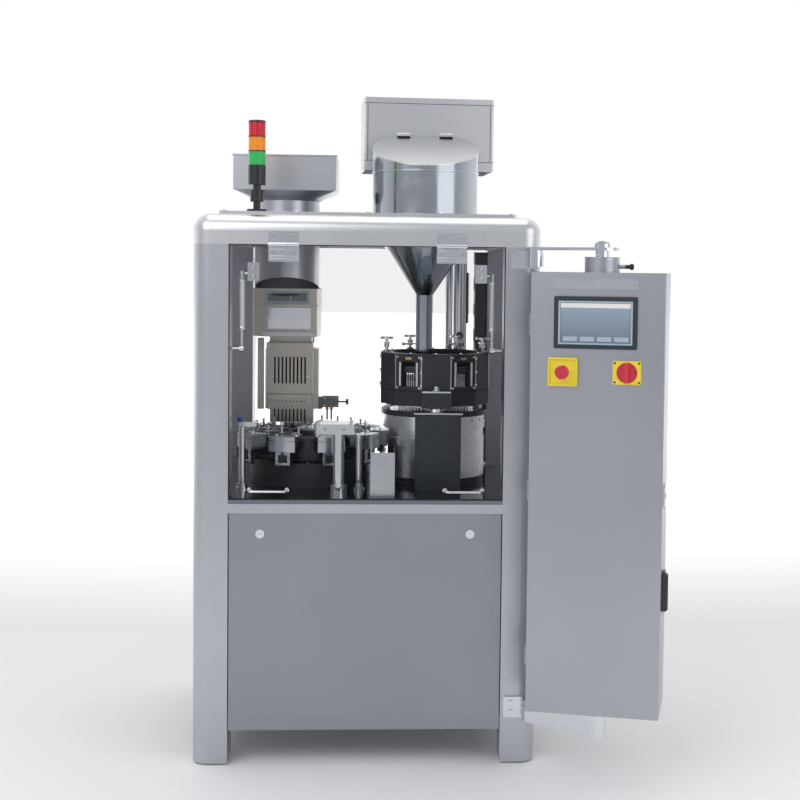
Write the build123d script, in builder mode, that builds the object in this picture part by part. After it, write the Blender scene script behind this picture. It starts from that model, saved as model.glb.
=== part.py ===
from build123d import *
import os
from math import cos, radians, sin, tan

os.makedirs("parts", exist_ok=True)

# Automatic capsule filling machine. Millimetres, +Z up, the operator stands at -Y.
# It is laid out from the middle of the main frame's footprint, and save() moves each piece to the
# object's own origin: the middle of the whole machine's footprint, on the floor.
ORIGIN_SHIFT = (-186, 134, 0)

# ---- main frame
FRAME_W, FRAME_D, FRAME_H = 1020, 860, 1628
POST = 106                      # square posts
CORNER_R = 50                   # rounded outer corners
WALL = 5
OPENING_TOP = 1540              # underside of the top ring
TABLE_TOP, TABLE_T = 791, 12
FRONT_Y = -FRAME_D / 2
INNER_X = FRAME_W / 2 - POST
INNER_Y = FRAME_D / 2 - POST
PANEL_BOTTOM, PANEL_TOP = 104.5, 750
RAIL = 28
FLOOR_PLATE_Z = 150

# ---- dosing turret and its stations
TURRET = (-186, 0)
STATIONS = 10
FIRST_STATION = 0               # degrees; this one is under the dosing disc
SEGMENT_R = 250
SEGMENT_IN_R = 192
SEGMENT_Z = 907
SPLIT_Z = 940                   # between the lower and the upper capsule segments
SEGMENT_TOP = 953
BORES, BORE_PITCH = 9, 8.2

# ---- dosing unit
DOSER = (212, 0)
DRUM_R = 163
DRUM_TOP = 1008
DISC_R, DISC_Z, DISC_T = 160, 1009, 12
HEAD_APOTHEM, HEAD_SIDES = 173, 12
HEAD_Z, HEAD_TOP = 1043, 1206
HEAD_FLOOR = 17
KNOB_R = 155
GUIDE_Y, GUIDE_R = 206, 18
PIN_RING_R = 152

# ---- powder hopper
HOPPER = (176, -20)
TUBE_R, HOPPER_R = 27.5, 168
CONE_Z, CONE_TOP = 1389, 1600
LID_HINGE_Y, LID_HINGE_Z = 120, 1908
LID_SLOPE = 20.5
SKIN = 2

# ---- capsule hopper and magazine
CAPS = (-276, 165)
CAPS_R = 106
CAPS_BOX = (329, 290)
BOX_Z, BOX_TOP, NECK_Z = 1722, 1835, 1690
CUT_Z = 1403
MAGAZINE_X = -264
SLOTS, SLOT_PITCH = 9, 12.5

# ---- window
HINGE_Y, HINGE_Z = -436, 1540
HINGE_X = 245
PIN_R, KNUCKLE_R = 3, 6
STRUT_X, STRUT_Y, STRUT_Z, STRUT_TOP = 369, -395, 1234, 1455
RUNNING = 0.05                  # radial running clearance

# ---- control cabinet on its swing arm
ARM_AXIS = (488, -462)
PIVOT = (672, -540)
CAB_TURN = 14.5
CAB_W, CAB_D = 380, 216
CAB_Z, CAB_TOP = 212, 1470
DOOR_D = 58
SHEET = 2.5
ARM_Z = 1532
BAR_Z, BAR_TOP = 121, 187

# ---- drive in the base
SHAFT_Z = 420
SHAFT_R = 20


def save(piece, name):
    """Move a finished piece to the object's origin, label it and write it."""
    piece.move(Location(ORIGIN_SHIFT))
    piece.label = name
    export_step(piece, f"parts/{name}.step")


def level(z, at=(0, 0)):
    """A horizontal plane at height z, with its origin at a plan point."""
    return Plane(origin=(at[0], at[1], z), x_dir=(1, 0, 0), z_dir=(0, 0, 1))


def facing(y, at=(0, 0)):
    """An upright plane at depth y that faces the operator, with local Y up."""
    return Plane(origin=(at[0], y, at[1]), x_dir=(1, 0, 0), z_dir=(0, -1, 0))


def across(x, at=(0, 0)):
    """An upright plane at x that faces +X, with local X along +Y and local Y up."""
    return Plane(origin=(x, at[0], at[1]), x_dir=(0, 1, 0), z_dir=(1, 0, 0))


def block(x, y, z, mode=Mode.ADD):
    """A box given by its limits along the three axes."""
    with BuildSketch(level(z[0])) as plan:
        with Locations(((x[0] + x[1]) / 2, (y[0] + y[1]) / 2)):
            Rectangle(x[1] - x[0], y[1] - y[0])
    extrude(plan.sketch, amount=z[1] - z[0], mode=mode)


def rod(at, radius, z, mode=Mode.ADD):
    """An upright cylinder between two heights."""
    with BuildSketch(level(z[0], at)) as plan:
        Circle(radius)
    extrude(plan.sketch, amount=z[1] - z[0], mode=mode)


def ring(at, outer, inner, z, mode=Mode.ADD):
    """An upright ring between two heights."""
    with BuildSketch(level(z[0], at)) as plan:
        Circle(outer)
        Circle(inner, mode=Mode.SUBTRACT)
    extrude(plan.sketch, amount=z[1] - z[0], mode=mode)


def axle(x, at, radius, mode=Mode.ADD):
    """A cylinder along X between two x values, at a (y, z) point."""
    with BuildSketch(across(x[0], at)) as section:
        Circle(radius)
    extrude(section.sketch, amount=x[1] - x[0], mode=mode)


# ================= main frame =================

def post_sections(inset):
    """The four posts' sections, drawn in by `inset` all round."""
    RectangleRounded(FRAME_W - 2 * inset, FRAME_D - 2 * inset, CORNER_R - inset)
    Rectangle(2 * (INNER_X + inset), FRAME_D, mode=Mode.SUBTRACT)
    Rectangle(FRAME_W, 2 * (INNER_Y + inset), mode=Mode.SUBTRACT)


with BuildPart() as corner_posts:
    with BuildSketch(level(0)):
        post_sections(0)
    extrude(amount=OPENING_TOP)
    chamfer(corner_posts.edges().group_by(Axis.Z)[0], length=6)
    with BuildSketch(level(WALL + 2)):
        post_sections(WALL)
    extrude(amount=OPENING_TOP, mode=Mode.SUBTRACT)
save(corner_posts.part, "corner_posts")

with BuildPart() as top_ring:
    with BuildSketch(level(OPENING_TOP)):
        RectangleRounded(FRAME_W, FRAME_D, CORNER_R)
        Rectangle(2 * INNER_X, 2 * INNER_Y, mode=Mode.SUBTRACT)
    extrude(amount=FRAME_H - OPENING_TOP)
    fillet(top_ring.faces().sort_by(Axis.Z)[-1].outer_wire().edges(), radius=CORNER_R - 2)
    with BuildSketch(level(OPENING_TOP + 6)):
        Rectangle(FRAME_W - 60, FRAME_D - 60)
        Rectangle(2 * INNER_X + 12, 2 * INNER_Y + 12, mode=Mode.SUBTRACT)
    extrude(amount=50, mode=Mode.SUBTRACT)
    with BuildSketch(level(OPENING_TOP + 6)):
        Rectangle(2 * INNER_X + 64, 2 * INNER_Y + 64)
        Rectangle(2 * INNER_X + 12, 2 * INNER_Y + 12, mode=Mode.SUBTRACT)
    extrude(amount=FRAME_H, mode=Mode.SUBTRACT)
save(top_ring.part, "top_ring")

COLUMNS = (((302, 215), 24.5), ((276, 265), 22))
PLATE_GAP = 2
with BuildPart() as top_plate:
    with BuildSketch(level(FRAME_H)):
        RectangleRounded(880, 740, 10)
        with Locations(CAPS):
            Circle(CAPS_R + PLATE_GAP, mode=Mode.SUBTRACT)
        with Locations(HOPPER):
            Circle(HOPPER_R + PLATE_GAP, mode=Mode.SUBTRACT)
        for column, radius in COLUMNS:
            with Locations(column):
                Circle(radius + PLATE_GAP, mode=Mode.SUBTRACT)
    extrude(amount=10)
save(top_plate.part, "top_plate")

TURRET_SHAFT_R, DOSER_SHAFT_R = 45, 20
with BuildPart() as table_plate:
    with BuildSketch(level(TABLE_TOP - TABLE_T)):
        Rectangle(2 * INNER_X, FRAME_D)
        Rectangle(FRAME_W - 12, 2 * INNER_Y)
        with Locations(TURRET):
            Circle(TURRET_SHAFT_R + 5, mode=Mode.SUBTRACT)
        with Locations(DOSER):
            Circle(DOSER_SHAFT_R + 5, mode=Mode.SUBTRACT)
        with Locations((DOSER[0], -GUIDE_Y), (DOSER[0], GUIDE_Y)):
            Circle(GUIDE_R + RUNNING, mode=Mode.SUBTRACT)
    extrude(amount=TABLE_T)
save(table_plate.part, "table_plate")

PILLAR_X = (-385, 0, 385)
PILLAR_T = 24
# the pillars are bolted down, so they stand apart from the floor plate
SEAT_GAP = 0.2
with BuildPart() as frame_rails:
    under = TABLE_TOP - TABLE_T
    for side in (-1, 1):
        depth = sorted((side * FRAME_D / 2, side * (FRAME_D / 2 - 30)))
        block((-INNER_X, INNER_X), depth, (under - RAIL, under))
        width = sorted((side * FRAME_W / 2, side * (FRAME_W / 2 - 30)))
        block(width, (-INNER_Y, INNER_Y), (under - RAIL, under))
        depth = sorted((side * (FRAME_D / 2 - 22), side * (FRAME_D / 2 - 52)))
        block((-INNER_X, INNER_X), depth, (FLOOR_PLATE_Z - 40, FLOOR_PLATE_Z))
        width = sorted((side * (FRAME_W / 2 - 22), side * (FRAME_W / 2 - 52)))
        block(width, (-INNER_Y, INNER_Y), (FLOOR_PLATE_Z - 40, FLOOR_PLATE_Z))
    block((-INNER_X, INNER_X), (-378, 378), (FLOOR_PLATE_Z, FLOOR_PLATE_Z + 6))
    for x in PILLAR_X:
        block((x - PILLAR_T / 2, x + PILLAR_T / 2), (-40, 40), (FLOOR_PLATE_Z + 6 + SEAT_GAP, SHAFT_Z + 40))
        axle((x - PILLAR_T, x + PILLAR_T), (0, SHAFT_Z), SHAFT_R + RUNNING, Mode.SUBTRACT)
save(frame_rails.part, "frame_rails")

LOCKS = ((-310, 691), (308, 691))
LOCK_R = 10
PANEL_T = 20
with BuildPart() as lower_panels:
    for side in (-1, 1):
        outer, inner = side * (FRAME_D / 2 - 2), side * (FRAME_D / 2 - 2 - PANEL_T)
        block((-INNER_X + 3, INNER_X - 3), sorted((outer, inner)), (PANEL_BOTTOM, PANEL_TOP))
        pocket = sorted((outer - side * 2, inner))
        block((-INNER_X + 25, INNER_X - 25), pocket, (PANEL_BOTTOM + 22, PANEL_TOP - 22), Mode.SUBTRACT)
        outer, inner = side * (FRAME_W / 2 - 2), side * (FRAME_W / 2 - 2 - PANEL_T)
        block(sorted((outer, inner)), (-INNER_Y + 3, INNER_Y - 3), (PANEL_BOTTOM, PANEL_TOP))
        pocket = sorted((outer - side * 2, inner))
        block(pocket, (-INNER_Y + 25, INNER_Y - 25), (PANEL_BOTTOM + 22, PANEL_TOP - 22), Mode.SUBTRACT)
    with BuildSketch(facing(FRONT_Y)):
        with Locations(LOCKS):
            Circle(LOCK_R + RUNNING)
    extrude(amount=-40, mode=Mode.SUBTRACT)
save(lower_panels.part, "lower_panels")


def panel_lock(at, name):
    """Quarter-turn lock: a slotted head in front, a cam tongue behind the panel."""
    with BuildPart() as lock:
        with BuildSketch(facing(FRONT_Y + 2, at)):
            Circle(LOCK_R + 3)
        extrude(amount=4)
        with BuildSketch(facing(FRONT_Y + 2, at)):
            Circle(LOCK_R)
        extrude(amount=-24)
        with BuildSketch(facing(FRONT_Y + 26, at)):
            with Locations((0, 12)):
                SlotOverall(44, 16, rotation=90)
        extrude(amount=-3)
        with BuildSketch(facing(FRONT_Y - 2, at)):
            Rectangle(14, 2.4)
            Rectangle(2.4, 14)
        extrude(amount=-2, mode=Mode.SUBTRACT)
    save(lock.part, name)


panel_lock(LOCKS[0], "panel_lock_left")
panel_lock(LOCKS[1], "panel_lock_right")

with BuildPart() as fixed_windows:
    for side in (-1, 1):
        width = sorted((side * (FRAME_W / 2 - 4), side * (FRAME_W / 2 - 12)))
        block(width, (-INNER_Y, INNER_Y), (TABLE_TOP, OPENING_TOP))
    block((-INNER_X, INNER_X), (FRAME_D / 2 - 12, FRAME_D / 2 - 4), (TABLE_TOP, OPENING_TOP))
save(fixed_windows.part, "fixed_windows")

# ================= front window =================

LEAF_W = 88
CENTRE_KNUCKLE = 40
with BuildPart() as window_fittings:
    for side in (-1, 1):
        x = side * HINGE_X
        half = CENTRE_KNUCKLE / 2
        block((x - LEAF_W / 2, x + LEAF_W / 2), (FRONT_Y - 3, FRONT_Y), (1547, 1578))
        block((x - half, x + half), (HINGE_Y, FRONT_Y), (HINGE_Z, 1550))
        axle((x - half, x + half), (HINGE_Y, HINGE_Z), KNUCKLE_R)
        axle((x - half, x + half), (HINGE_Y, HINGE_Z), PIN_R + RUNNING, Mode.SUBTRACT)
        stud = sorted((side * INNER_X, side * (STRUT_X - 7)))
        axle(stud, (STRUT_Y, STRUT_Z), 4)
save(window_fittings.part, "window_fittings")

WINDOW_T = 8
GLASS = (FRONT_Y + 2, FRONT_Y + 2 + WINDOW_T)
with BuildPart() as front_window:
    block((-INNER_X + 5, INNER_X - 5), GLASS, (TABLE_TOP + 3, OPENING_TOP - 4))
    fillet(front_window.edges().filter_by(Axis.Y), radius=6)
save(front_window.part, "front_window")

with BuildPart() as window_hinges:
    for side in (-1, 1):
        x = side * HINGE_X
        block((x - LEAF_W / 2, x + LEAF_W / 2), (GLASS[0] - 4, GLASS[0]), (1490, 1533))
        block((x - LEAF_W / 2, x + LEAF_W / 2), (GLASS[1], GLASS[1] + 3), (1492, 1533))
        for end in (-1, 1):
            near = x + end * (CENTRE_KNUCKLE / 2 + 0.5)
            far = x + end * LEAF_W / 2
            block(sorted((near, far)), (GLASS[0] - 4, GLASS[0]), (1532, HINGE_Z))
            axle(sorted((near, far)), (HINGE_Y, HINGE_Z), KNUCKLE_R)
        axle((x - LEAF_W / 2 - 2, x + LEAF_W / 2 + 2), (HINGE_Y, HINGE_Z), PIN_R)
        with BuildSketch(level(1433, (side * 333, GLASS[1]))):
            with Locations((0, 8.5)):
                Rectangle(34, 17)
            with Locations((0, 17)):
                Circle(17)
        extrude(amount=54)
        stud = sorted((side * 349, side * (STRUT_X - 9.5)))
        axle(stud, (STRUT_Y, STRUT_TOP), 4)
save(window_hinges.part, "window_hinges")

PULL_Z, PULL_X, PULL_W = 821, 287, 110
with BuildPart() as window_handles:
    for side in (-1, 1):
        left, right = side * PULL_X - PULL_W / 2, side * PULL_X + PULL_W / 2
        near, out = GLASS[0], GLASS[0] - 35
        corners = [(left, near, PULL_Z), (left, out, PULL_Z), (right, out, PULL_Z), (right, near, PULL_Z)]
        with BuildLine() as route:
            FilletPolyline(*corners, radius=12)
        with BuildSketch(facing(near, (left, PULL_Z))):
            Circle(3.5)
        sweep(path=route.wires()[0])
save(window_handles.part, "window_handles")

ROD_R, TUBE_STRUT_R = 4, 9
with BuildPart() as strut_rods:
    for side in (-1, 1):
        eye = sorted((side * (STRUT_X - 6), side * (STRUT_X + 6)))
        axle(eye, (STRUT_Y, STRUT_Z), TUBE_STRUT_R)
        rod((side * STRUT_X, STRUT_Y), ROD_R, (STRUT_Z + 5, 1420))
        axle(eye, (STRUT_Y, STRUT_Z), 4 + RUNNING, Mode.SUBTRACT)
save(strut_rods.part, "strut_rods")

with BuildPart() as strut_tubes:
    for side in (-1, 1):
        at = (side * STRUT_X, STRUT_Y)
        rod(at, TUBE_STRUT_R, (1289, 1440))
        rod(at, 6, (1440, STRUT_TOP + 7))
        rod(at, ROD_R + RUNNING, (1280, 1434), Mode.SUBTRACT)
save(strut_tubes.part, "strut_tubes")

# ================= dosing turret =================

BASE_R, DRUM_IN_R = 195, 158
with BuildPart() as station_rings:
    ring(TURRET, BASE_R, 60, (TABLE_TOP, 865))
    ring(DOSER, DISC_R, 60, (TABLE_TOP, TABLE_TOP + 22))
    ring(DOSER, DISC_R + 11, DISC_R + 1, (DRUM_TOP, DISC_Z + DISC_T + 3))
    fillet(station_rings.edges().filter_by(GeomType.CIRCLE).group_by(Axis.Z)[-1], radius=1)
save(station_rings.part, "station_rings")


def station_rectangles(radius, length, width):
    """One rectangle at each station, `length` along the radius."""
    with PolarLocations(radius, STATIONS, start_angle=FIRST_STATION):
        Rectangle(length, width)


with BuildPart() as turret_drum:
    rod(TURRET, TURRET_SHAFT_R, (600, 868))
    rod(TURRET, DRUM_IN_R, (868, SPLIT_Z - 1))
    fillet(turret_drum.edges().group_by(Axis.Z)[-1], radius=4)
    with BuildSketch(level(882, TURRET)):
        station_rectangles(190, 90, 34)
    extrude(amount=SEGMENT_Z - 882)
    with BuildSketch(level(858, TURRET)):
        station_rectangles(228, 10, 50)
    extrude(amount=SEGMENT_Z - 858)
    with BuildSketch(level(858, TURRET)):
        station_rectangles(210, 10, 50)
    extrude(amount=SEGMENT_Z - 870, mode=Mode.SUBTRACT)
    rod(TURRET, 60, (SPLIT_Z - 1, SPLIT_Z + 13))
save(turret_drum.part, "turret_drum")

with BuildPart() as lower_segments:
    with BuildSketch(level(SEGMENT_Z, TURRET)):
        station_rectangles(222, 60, 86)
        Circle(SEGMENT_R, mode=Mode.INTERSECT)
    extrude(amount=SPLIT_Z - SEGMENT_Z)
save(lower_segments.part, "lower_segments")

with BuildPart() as upper_segments:
    with BuildSketch(level(SPLIT_Z, TURRET)):
        station_rectangles(222, 58, 84)
        Circle(SEGMENT_R - 1, mode=Mode.INTERSECT)
        with PolarLocations(224, STATIONS, start_angle=FIRST_STATION):
            with GridLocations(1, BORE_PITCH, 1, BORES):
                Circle(3.2, mode=Mode.SUBTRACT)
    extrude(amount=SEGMENT_TOP - SPLIT_Z)
save(upper_segments.part, "upper_segments")

# ================= dosing unit =================

NOTCH_R = SEGMENT_R + 7
with BuildPart() as dosing_drum:
    ring(DOSER, DRUM_R, DRUM_R - 8, (TABLE_TOP + 22, 939))
    ring(DOSER, DRUM_R - 3, DRUM_R - 11, (939, 965))
    ring(DOSER, DRUM_R + 2, DRUM_R - 10, (965, DRUM_TOP))
    ring(DOSER, DRUM_R - 9, DOSER_SHAFT_R + RUNNING, (DRUM_TOP - 10, DRUM_TOP))
    ring(DOSER, DRUM_R - 7, DRUM_R - 12, (933, 971))
    rod(TURRET, NOTCH_R, (850, 962), Mode.SUBTRACT)
save(dosing_drum.part, "dosing_drum")

with BuildPart() as dosing_disc:
    rod(DOSER, DISC_R, (DISC_Z, DISC_Z + DISC_T))
    with BuildSketch(level(DISC_Z, DOSER)):
        with PolarLocations(120, 6):
            with GridLocations(14, 12, 2, 4):
                Circle(4)
    extrude(amount=DISC_T, mode=Mode.SUBTRACT)
    rod(DOSER, DOSER_SHAFT_R, (640, DISC_Z))
save(dosing_disc.part, "dosing_disc")

COVER_X, COVER_Y = (147, 288), (-240, -172)
LIP = 4
with BuildPart() as front_cover:
    block(COVER_X, COVER_Y, (TABLE_TOP, 1026))
    inside = ((COVER_X[0] + 3, COVER_X[1] - 3), (COVER_Y[0] + 3, COVER_Y[1] - 3))
    block(*inside, (TABLE_TOP, 1023), Mode.SUBTRACT)
    block((COVER_X[0] - LIP, COVER_X[1] + LIP), (COVER_Y[0] - LIP, COVER_Y[1]), (1026, 1030))
    rod((DOSER[0], -GUIDE_Y), GUIDE_R + 2, (1000, 1035), Mode.SUBTRACT)
save(front_cover.part, "front_cover")

WINDOW_CUT = (50, 80)
with BuildPart() as tamping_head:
    with BuildSketch(level(HEAD_Z, DOSER)):
        RegularPolygon(HEAD_APOTHEM, HEAD_SIDES, major_radius=False, rotation=15)
    extrude(amount=HEAD_TOP - HEAD_Z)
    chamfer(tamping_head.edges().group_by(Axis.Z)[-1], length=2)
    for side in (-1, 1):
        near = sorted((side * (HEAD_APOTHEM - 10), side * (GUIDE_Y + 26)))
        block((DOSER[0] - 46, DOSER[0] + 46), near, (HEAD_Z, HEAD_Z + 47))
    rod(DOSER, HEAD_APOTHEM - 33, (HEAD_Z + HEAD_FLOOR, HEAD_TOP), Mode.SUBTRACT)
    rod(HOPPER, TUBE_R + 1.5, (HEAD_Z, HEAD_TOP), Mode.SUBTRACT)
    for k in range(6):
        turn = radians(60 * k)
        out = (cos(turn), sin(turn), 0)
        spot = (DOSER[0] + out[0] * 120, DOSER[1] + out[1] * 120, 1142)
        with BuildSketch(Plane(origin=spot, x_dir=(-sin(turn), cos(turn), 0), z_dir=out)):
            RectangleRounded(*WINDOW_CUT, 4)
        extrude(amount=80, mode=Mode.SUBTRACT)
save(tamping_head.part, "tamping_head")

with BuildPart() as tamping_knobs:
    for k in range(4):
        turn = radians(60 * k)
        at = (DOSER[0] + KNOB_R * cos(turn), DOSER[1] + KNOB_R * sin(turn))
        rod(at, 11, (HEAD_TOP, HEAD_TOP + 6))
        rod(at, 5, (HEAD_TOP + 6, 1246))
        rod(at, 9, (1218, 1232))
        rod(at, 22, (1246, 1254))
    fillet(tamping_knobs.edges().filter_by(GeomType.CIRCLE).group_by(Axis.Z)[-1], radius=3)
save(tamping_knobs.part, "tamping_knobs")

PIN_TIP = DISC_Z + DISC_T + 1
with BuildPart() as tamping_pins:
    for k in range(6):
        with BuildSketch(level(HEAD_Z - 4, DOSER)):
            with PolarLocations(PIN_RING_R, 1, start_angle=60 * k):
                Rectangle(14, 120)
            Circle(DISC_R, mode=Mode.INTERSECT)
        extrude(amount=4)
        with BuildSketch(level(PIN_TIP, DOSER)):
            with PolarLocations(PIN_RING_R, 9, start_angle=60 * k - 18, angular_range=36, endpoint=True):
                Circle(2.6)
        extrude(amount=HEAD_Z - 4 - PIN_TIP)
    for side in (-1, 1):
        rod((DOSER[0], side * GUIDE_Y), GUIDE_R, (700, HEAD_Z))
save(tamping_pins.part, "tamping_pins")

# ================= powder hopper =================


def hopper_profile(inset):
    """Half section of the funnel: tube, cone and drum, drawn in by `inset`."""
    base, top = 1030, 1960
    Polygon(
        (0, base), (TUBE_R - inset, base), (TUBE_R - inset, CONE_Z), (HOPPER_R - inset, CONE_TOP),
        (HOPPER_R - inset, top), (0, top), align=None,
    )


def above_lid(gap):
    """The space above the slanted lid plane, as a sketch seen from the side."""
    front = HOPPER[1] - 220
    drop = (LID_HINGE_Y - front) * tan(radians(LID_SLOPE))
    Polygon(
        (front, LID_HINGE_Z + gap - drop), (LID_HINGE_Y, LID_HINGE_Z + gap),
        (HOPPER[1] + 220, LID_HINGE_Z + gap), (HOPPER[1] + 220, 2200), (front, 2200), align=None,
    )


def below_lid():
    """The space under the slanted lid plane, as a sketch seen from the side."""
    front = HOPPER[1] - 220
    drop = (LID_HINGE_Y - front) * tan(radians(LID_SLOPE))
    Polygon(
        (front, LID_HINGE_Z - drop), (LID_HINGE_Y, LID_HINGE_Z), (LID_HINGE_Y + 40, LID_HINGE_Z),
        (LID_HINGE_Y + 40, LID_HINGE_Z - 60), (front, LID_HINGE_Z - drop - 60), align=None,
    )


FUNNEL = Plane(origin=(HOPPER[0], HOPPER[1], 0), x_dir=(1, 0, 0), z_dir=(0, -1, 0))
CONE_TURN = 33.7
GLASS_SPOT = (180, -108.5, 1483)
GLASS_PLANE = Plane(
    origin=GLASS_SPOT, x_dir=(1, 0, 0), z_dir=(0, -cos(radians(CONE_TURN)), -sin(radians(CONE_TURN)))
)
with BuildPart() as powder_hopper:
    for inset, mode in ((0, Mode.ADD), (SKIN, Mode.SUBTRACT)):
        with BuildSketch(FUNNEL):
            hopper_profile(inset)
        revolve(axis=Axis((HOPPER[0], HOPPER[1], 0), (0, 0, 1)), mode=mode)
    with BuildSketch(across(HOPPER[0] - 220)):
        above_lid(0)
    extrude(amount=440, mode=Mode.SUBTRACT)
    ring(HOPPER, HOPPER_R + 14, HOPPER_R - 1, (FRAME_H + 10, FRAME_H + 14))
    with BuildSketch(level(LID_HINGE_Z - 3, HOPPER)):
        Circle(HOPPER_R - 1)
        with Locations((0, LID_HINGE_Y - HOPPER[1] - 200 + 4)):
            Rectangle(400, 400, mode=Mode.SUBTRACT)
    extrude(amount=3)
    with BuildSketch(GLASS_PLANE):
        SlotOverall(70, 32, rotation=90)
    extrude(amount=12, both=True, mode=Mode.SUBTRACT)
save(powder_hopper.part, "powder_hopper")

with BuildPart() as sight_glass:
    with BuildSketch(GLASS_PLANE.offset(-6)):
        SlotOverall(70, 32, rotation=90)
    extrude(amount=11)
    fillet(sight_glass.edges().sort_by(Axis.Y)[0:2], radius=1)
save(sight_glass.part, "sight_glass")

LID_T = 3
with BuildPart() as hopper_lid:
    rod(HOPPER, HOPPER_R + 3, (1700, 2000))
    for gap, keep in ((0, Mode.INTERSECT), (LID_T, Mode.SUBTRACT)):
        with BuildSketch(across(HOPPER[0] - 220)):
            above_lid(gap)
        extrude(amount=440, mode=keep)
    block((-200, 600), (LID_HINGE_Y - 2, 400), (1600, 2100), Mode.SUBTRACT)
    for x in (HOPPER[0] - 70, HOPPER[0] + 70):
        axle((x - 22, x + 22), (LID_HINGE_Y, LID_HINGE_Z + 7), 5)
        block((x - 22, x + 22), (LID_HINGE_Y - 30, LID_HINGE_Y), (LID_HINGE_Z - 1, LID_HINGE_Z + 6))
    with BuildSketch(across(HOPPER[0] - 220)):
        below_lid()
    extrude(amount=440, mode=Mode.SUBTRACT)
save(hopper_lid.part, "hopper_lid")

BAR_LOW = 1690
AUGER_R = 7
with BuildPart() as auger_drive:
    block((HOPPER[0] - 164, HOPPER[0] + 164), (HOPPER[1] - 15, HOPPER[1] + 15), (BAR_LOW, BAR_LOW + 12))
    rod(HOPPER, 40, (BAR_LOW + 12, BAR_LOW + 76))
    rod(HOPPER, AUGER_R + RUNNING, (BAR_LOW - 1, BAR_LOW + 40), Mode.SUBTRACT)
    fillet(auger_drive.edges().filter_by(GeomType.CIRCLE).group_by(Axis.Z)[-1], radius=5)
save(auger_drive.part, "auger_drive")

with BuildPart() as auger:
    rod(HOPPER, AUGER_R, (1060, BAR_LOW + 38))
    for k in range(10):
        z = 1070 + 32 * k
        rod(HOPPER, 23, (z, z + 3))
    block((HOPPER[0] - 60, HOPPER[0] + 60), (HOPPER[1] - 5, HOPPER[1] + 5), (1500, 1508))
save(auger.part, "auger")

BOX_TURN = 4
BOX_SIZE = (432, 240)
BOX_CENTRE = (184, 288)
LOADER_Z, LOADER_TOP = 1800, 2042
with BuildPart() as feeder_box:
    spin = radians(BOX_TURN)
    turned = Plane(origin=(*BOX_CENTRE, LOADER_Z), x_dir=(cos(spin), sin(spin), 0), z_dir=(0, 0, 1))
    with BuildSketch(turned):
        RectangleRounded(*BOX_SIZE, 4)
    extrude(amount=LOADER_TOP - LOADER_Z)
    fillet(feeder_box.edges().group_by(Axis.Z)[-1], radius=3)
    with BuildSketch(turned):
        Rectangle(BOX_SIZE[0] - 6, BOX_SIZE[1] - 6)
    extrude(amount=LOADER_TOP - LOADER_Z - 3, mode=Mode.SUBTRACT)
save(feeder_box.part, "feeder_box")

# ================= capsule hopper and magazine =================

with BuildPart() as capsule_hopper:
    for inset, mode in ((0, Mode.ADD), (SKIN, Mode.SUBTRACT)):
        with BuildSketch(level(BOX_Z + inset, CAPS)):
            Rectangle(CAPS_BOX[0] - 2 * inset, CAPS_BOX[1] - 2 * inset)
        extrude(amount=BOX_TOP - BOX_Z, mode=mode)
        with BuildSketch(level(BOX_Z + inset, CAPS)):
            Rectangle(CAPS_BOX[0] - 2 * inset, CAPS_BOX[1] - 2 * inset)
        with BuildSketch(level(NECK_Z + inset, CAPS)):
            Circle(CAPS_R - inset)
        loft(mode=mode)
        rod(CAPS, CAPS_R - inset, (1340, NECK_Z + inset), mode)
    ring(CAPS, CAPS_R + 14, CAPS_R - 1, (FRAME_H + 10, FRAME_H + 14))
    with BuildSketch(across(CAPS[0] - 200)):
        rise = 140 * tan(radians(19.4))
        low, high = CUT_Z - rise, CUT_Z + rise
        Polygon(
            (CAPS[1] - 140, 1300), (CAPS[1] + 140, 1300), (CAPS[1] + 140, low), (CAPS[1] - 140, high),
            align=None,
        )
    extrude(amount=400, mode=Mode.SUBTRACT)
save(capsule_hopper.part, "capsule_hopper")


def chute_plan(inset):
    """Plan of the transfer chute: a box with one bevelled front corner, drawn in by `inset`."""
    Polygon(
        (-386 + inset, 282 - inset), (-386 + inset, 140 + inset / 2), (-349 + inset / 2, 85 + inset),
        (-173 - inset / 2, 85 + inset), (-166 - inset, 140 + inset / 2), (-166 - inset, 282 - inset),
        align=None,
    )


SPOUT = (140, 55)
SPOUT_AT = (MAGAZINE_X, 198)
with BuildPart() as capsule_chute:
    with BuildSketch(level(1245)):
        chute_plan(0)
    extrude(amount=CUT_Z - 1245)
    with BuildSketch(level(1190, SPOUT_AT)):
        Rectangle(*SPOUT)
    extrude(amount=60)
    with BuildSketch(level(1248)):
        chute_plan(SKIN)
    extrude(amount=CUT_Z, mode=Mode.SUBTRACT)
    with BuildSketch(level(1180, SPOUT_AT)):
        Rectangle(SPOUT[0] - 6, SPOUT[1] - 6)
    extrude(amount=80, mode=Mode.SUBTRACT)
    block((-335, -205), (80, 90), (1360, 1390), Mode.SUBTRACT)
save(capsule_chute.part, "capsule_chute")

MAG_Y = 146
ROD_XY = ((-330, 305), (-200, 305))
GUIDE_ROD_R = 10
with BuildPart() as magazine_body:
    block((-346, -170), (MAG_Y + 10, 245), (1001, 1202))
    block((-342, -188), (MAG_Y - 4, 249), (1202, 1222))
    block((-338, -190), (MAG_Y + 20, 235), (1004, 1240), Mode.SUBTRACT)
    block((-345, -185), (245, 330), (1100, 1130))
    for at in ROD_XY:
        rod(at, GUIDE_ROD_R + RUNNING, (1090, 1140), Mode.SUBTRACT)
save(magazine_body.part, "magazine_body")

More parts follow.
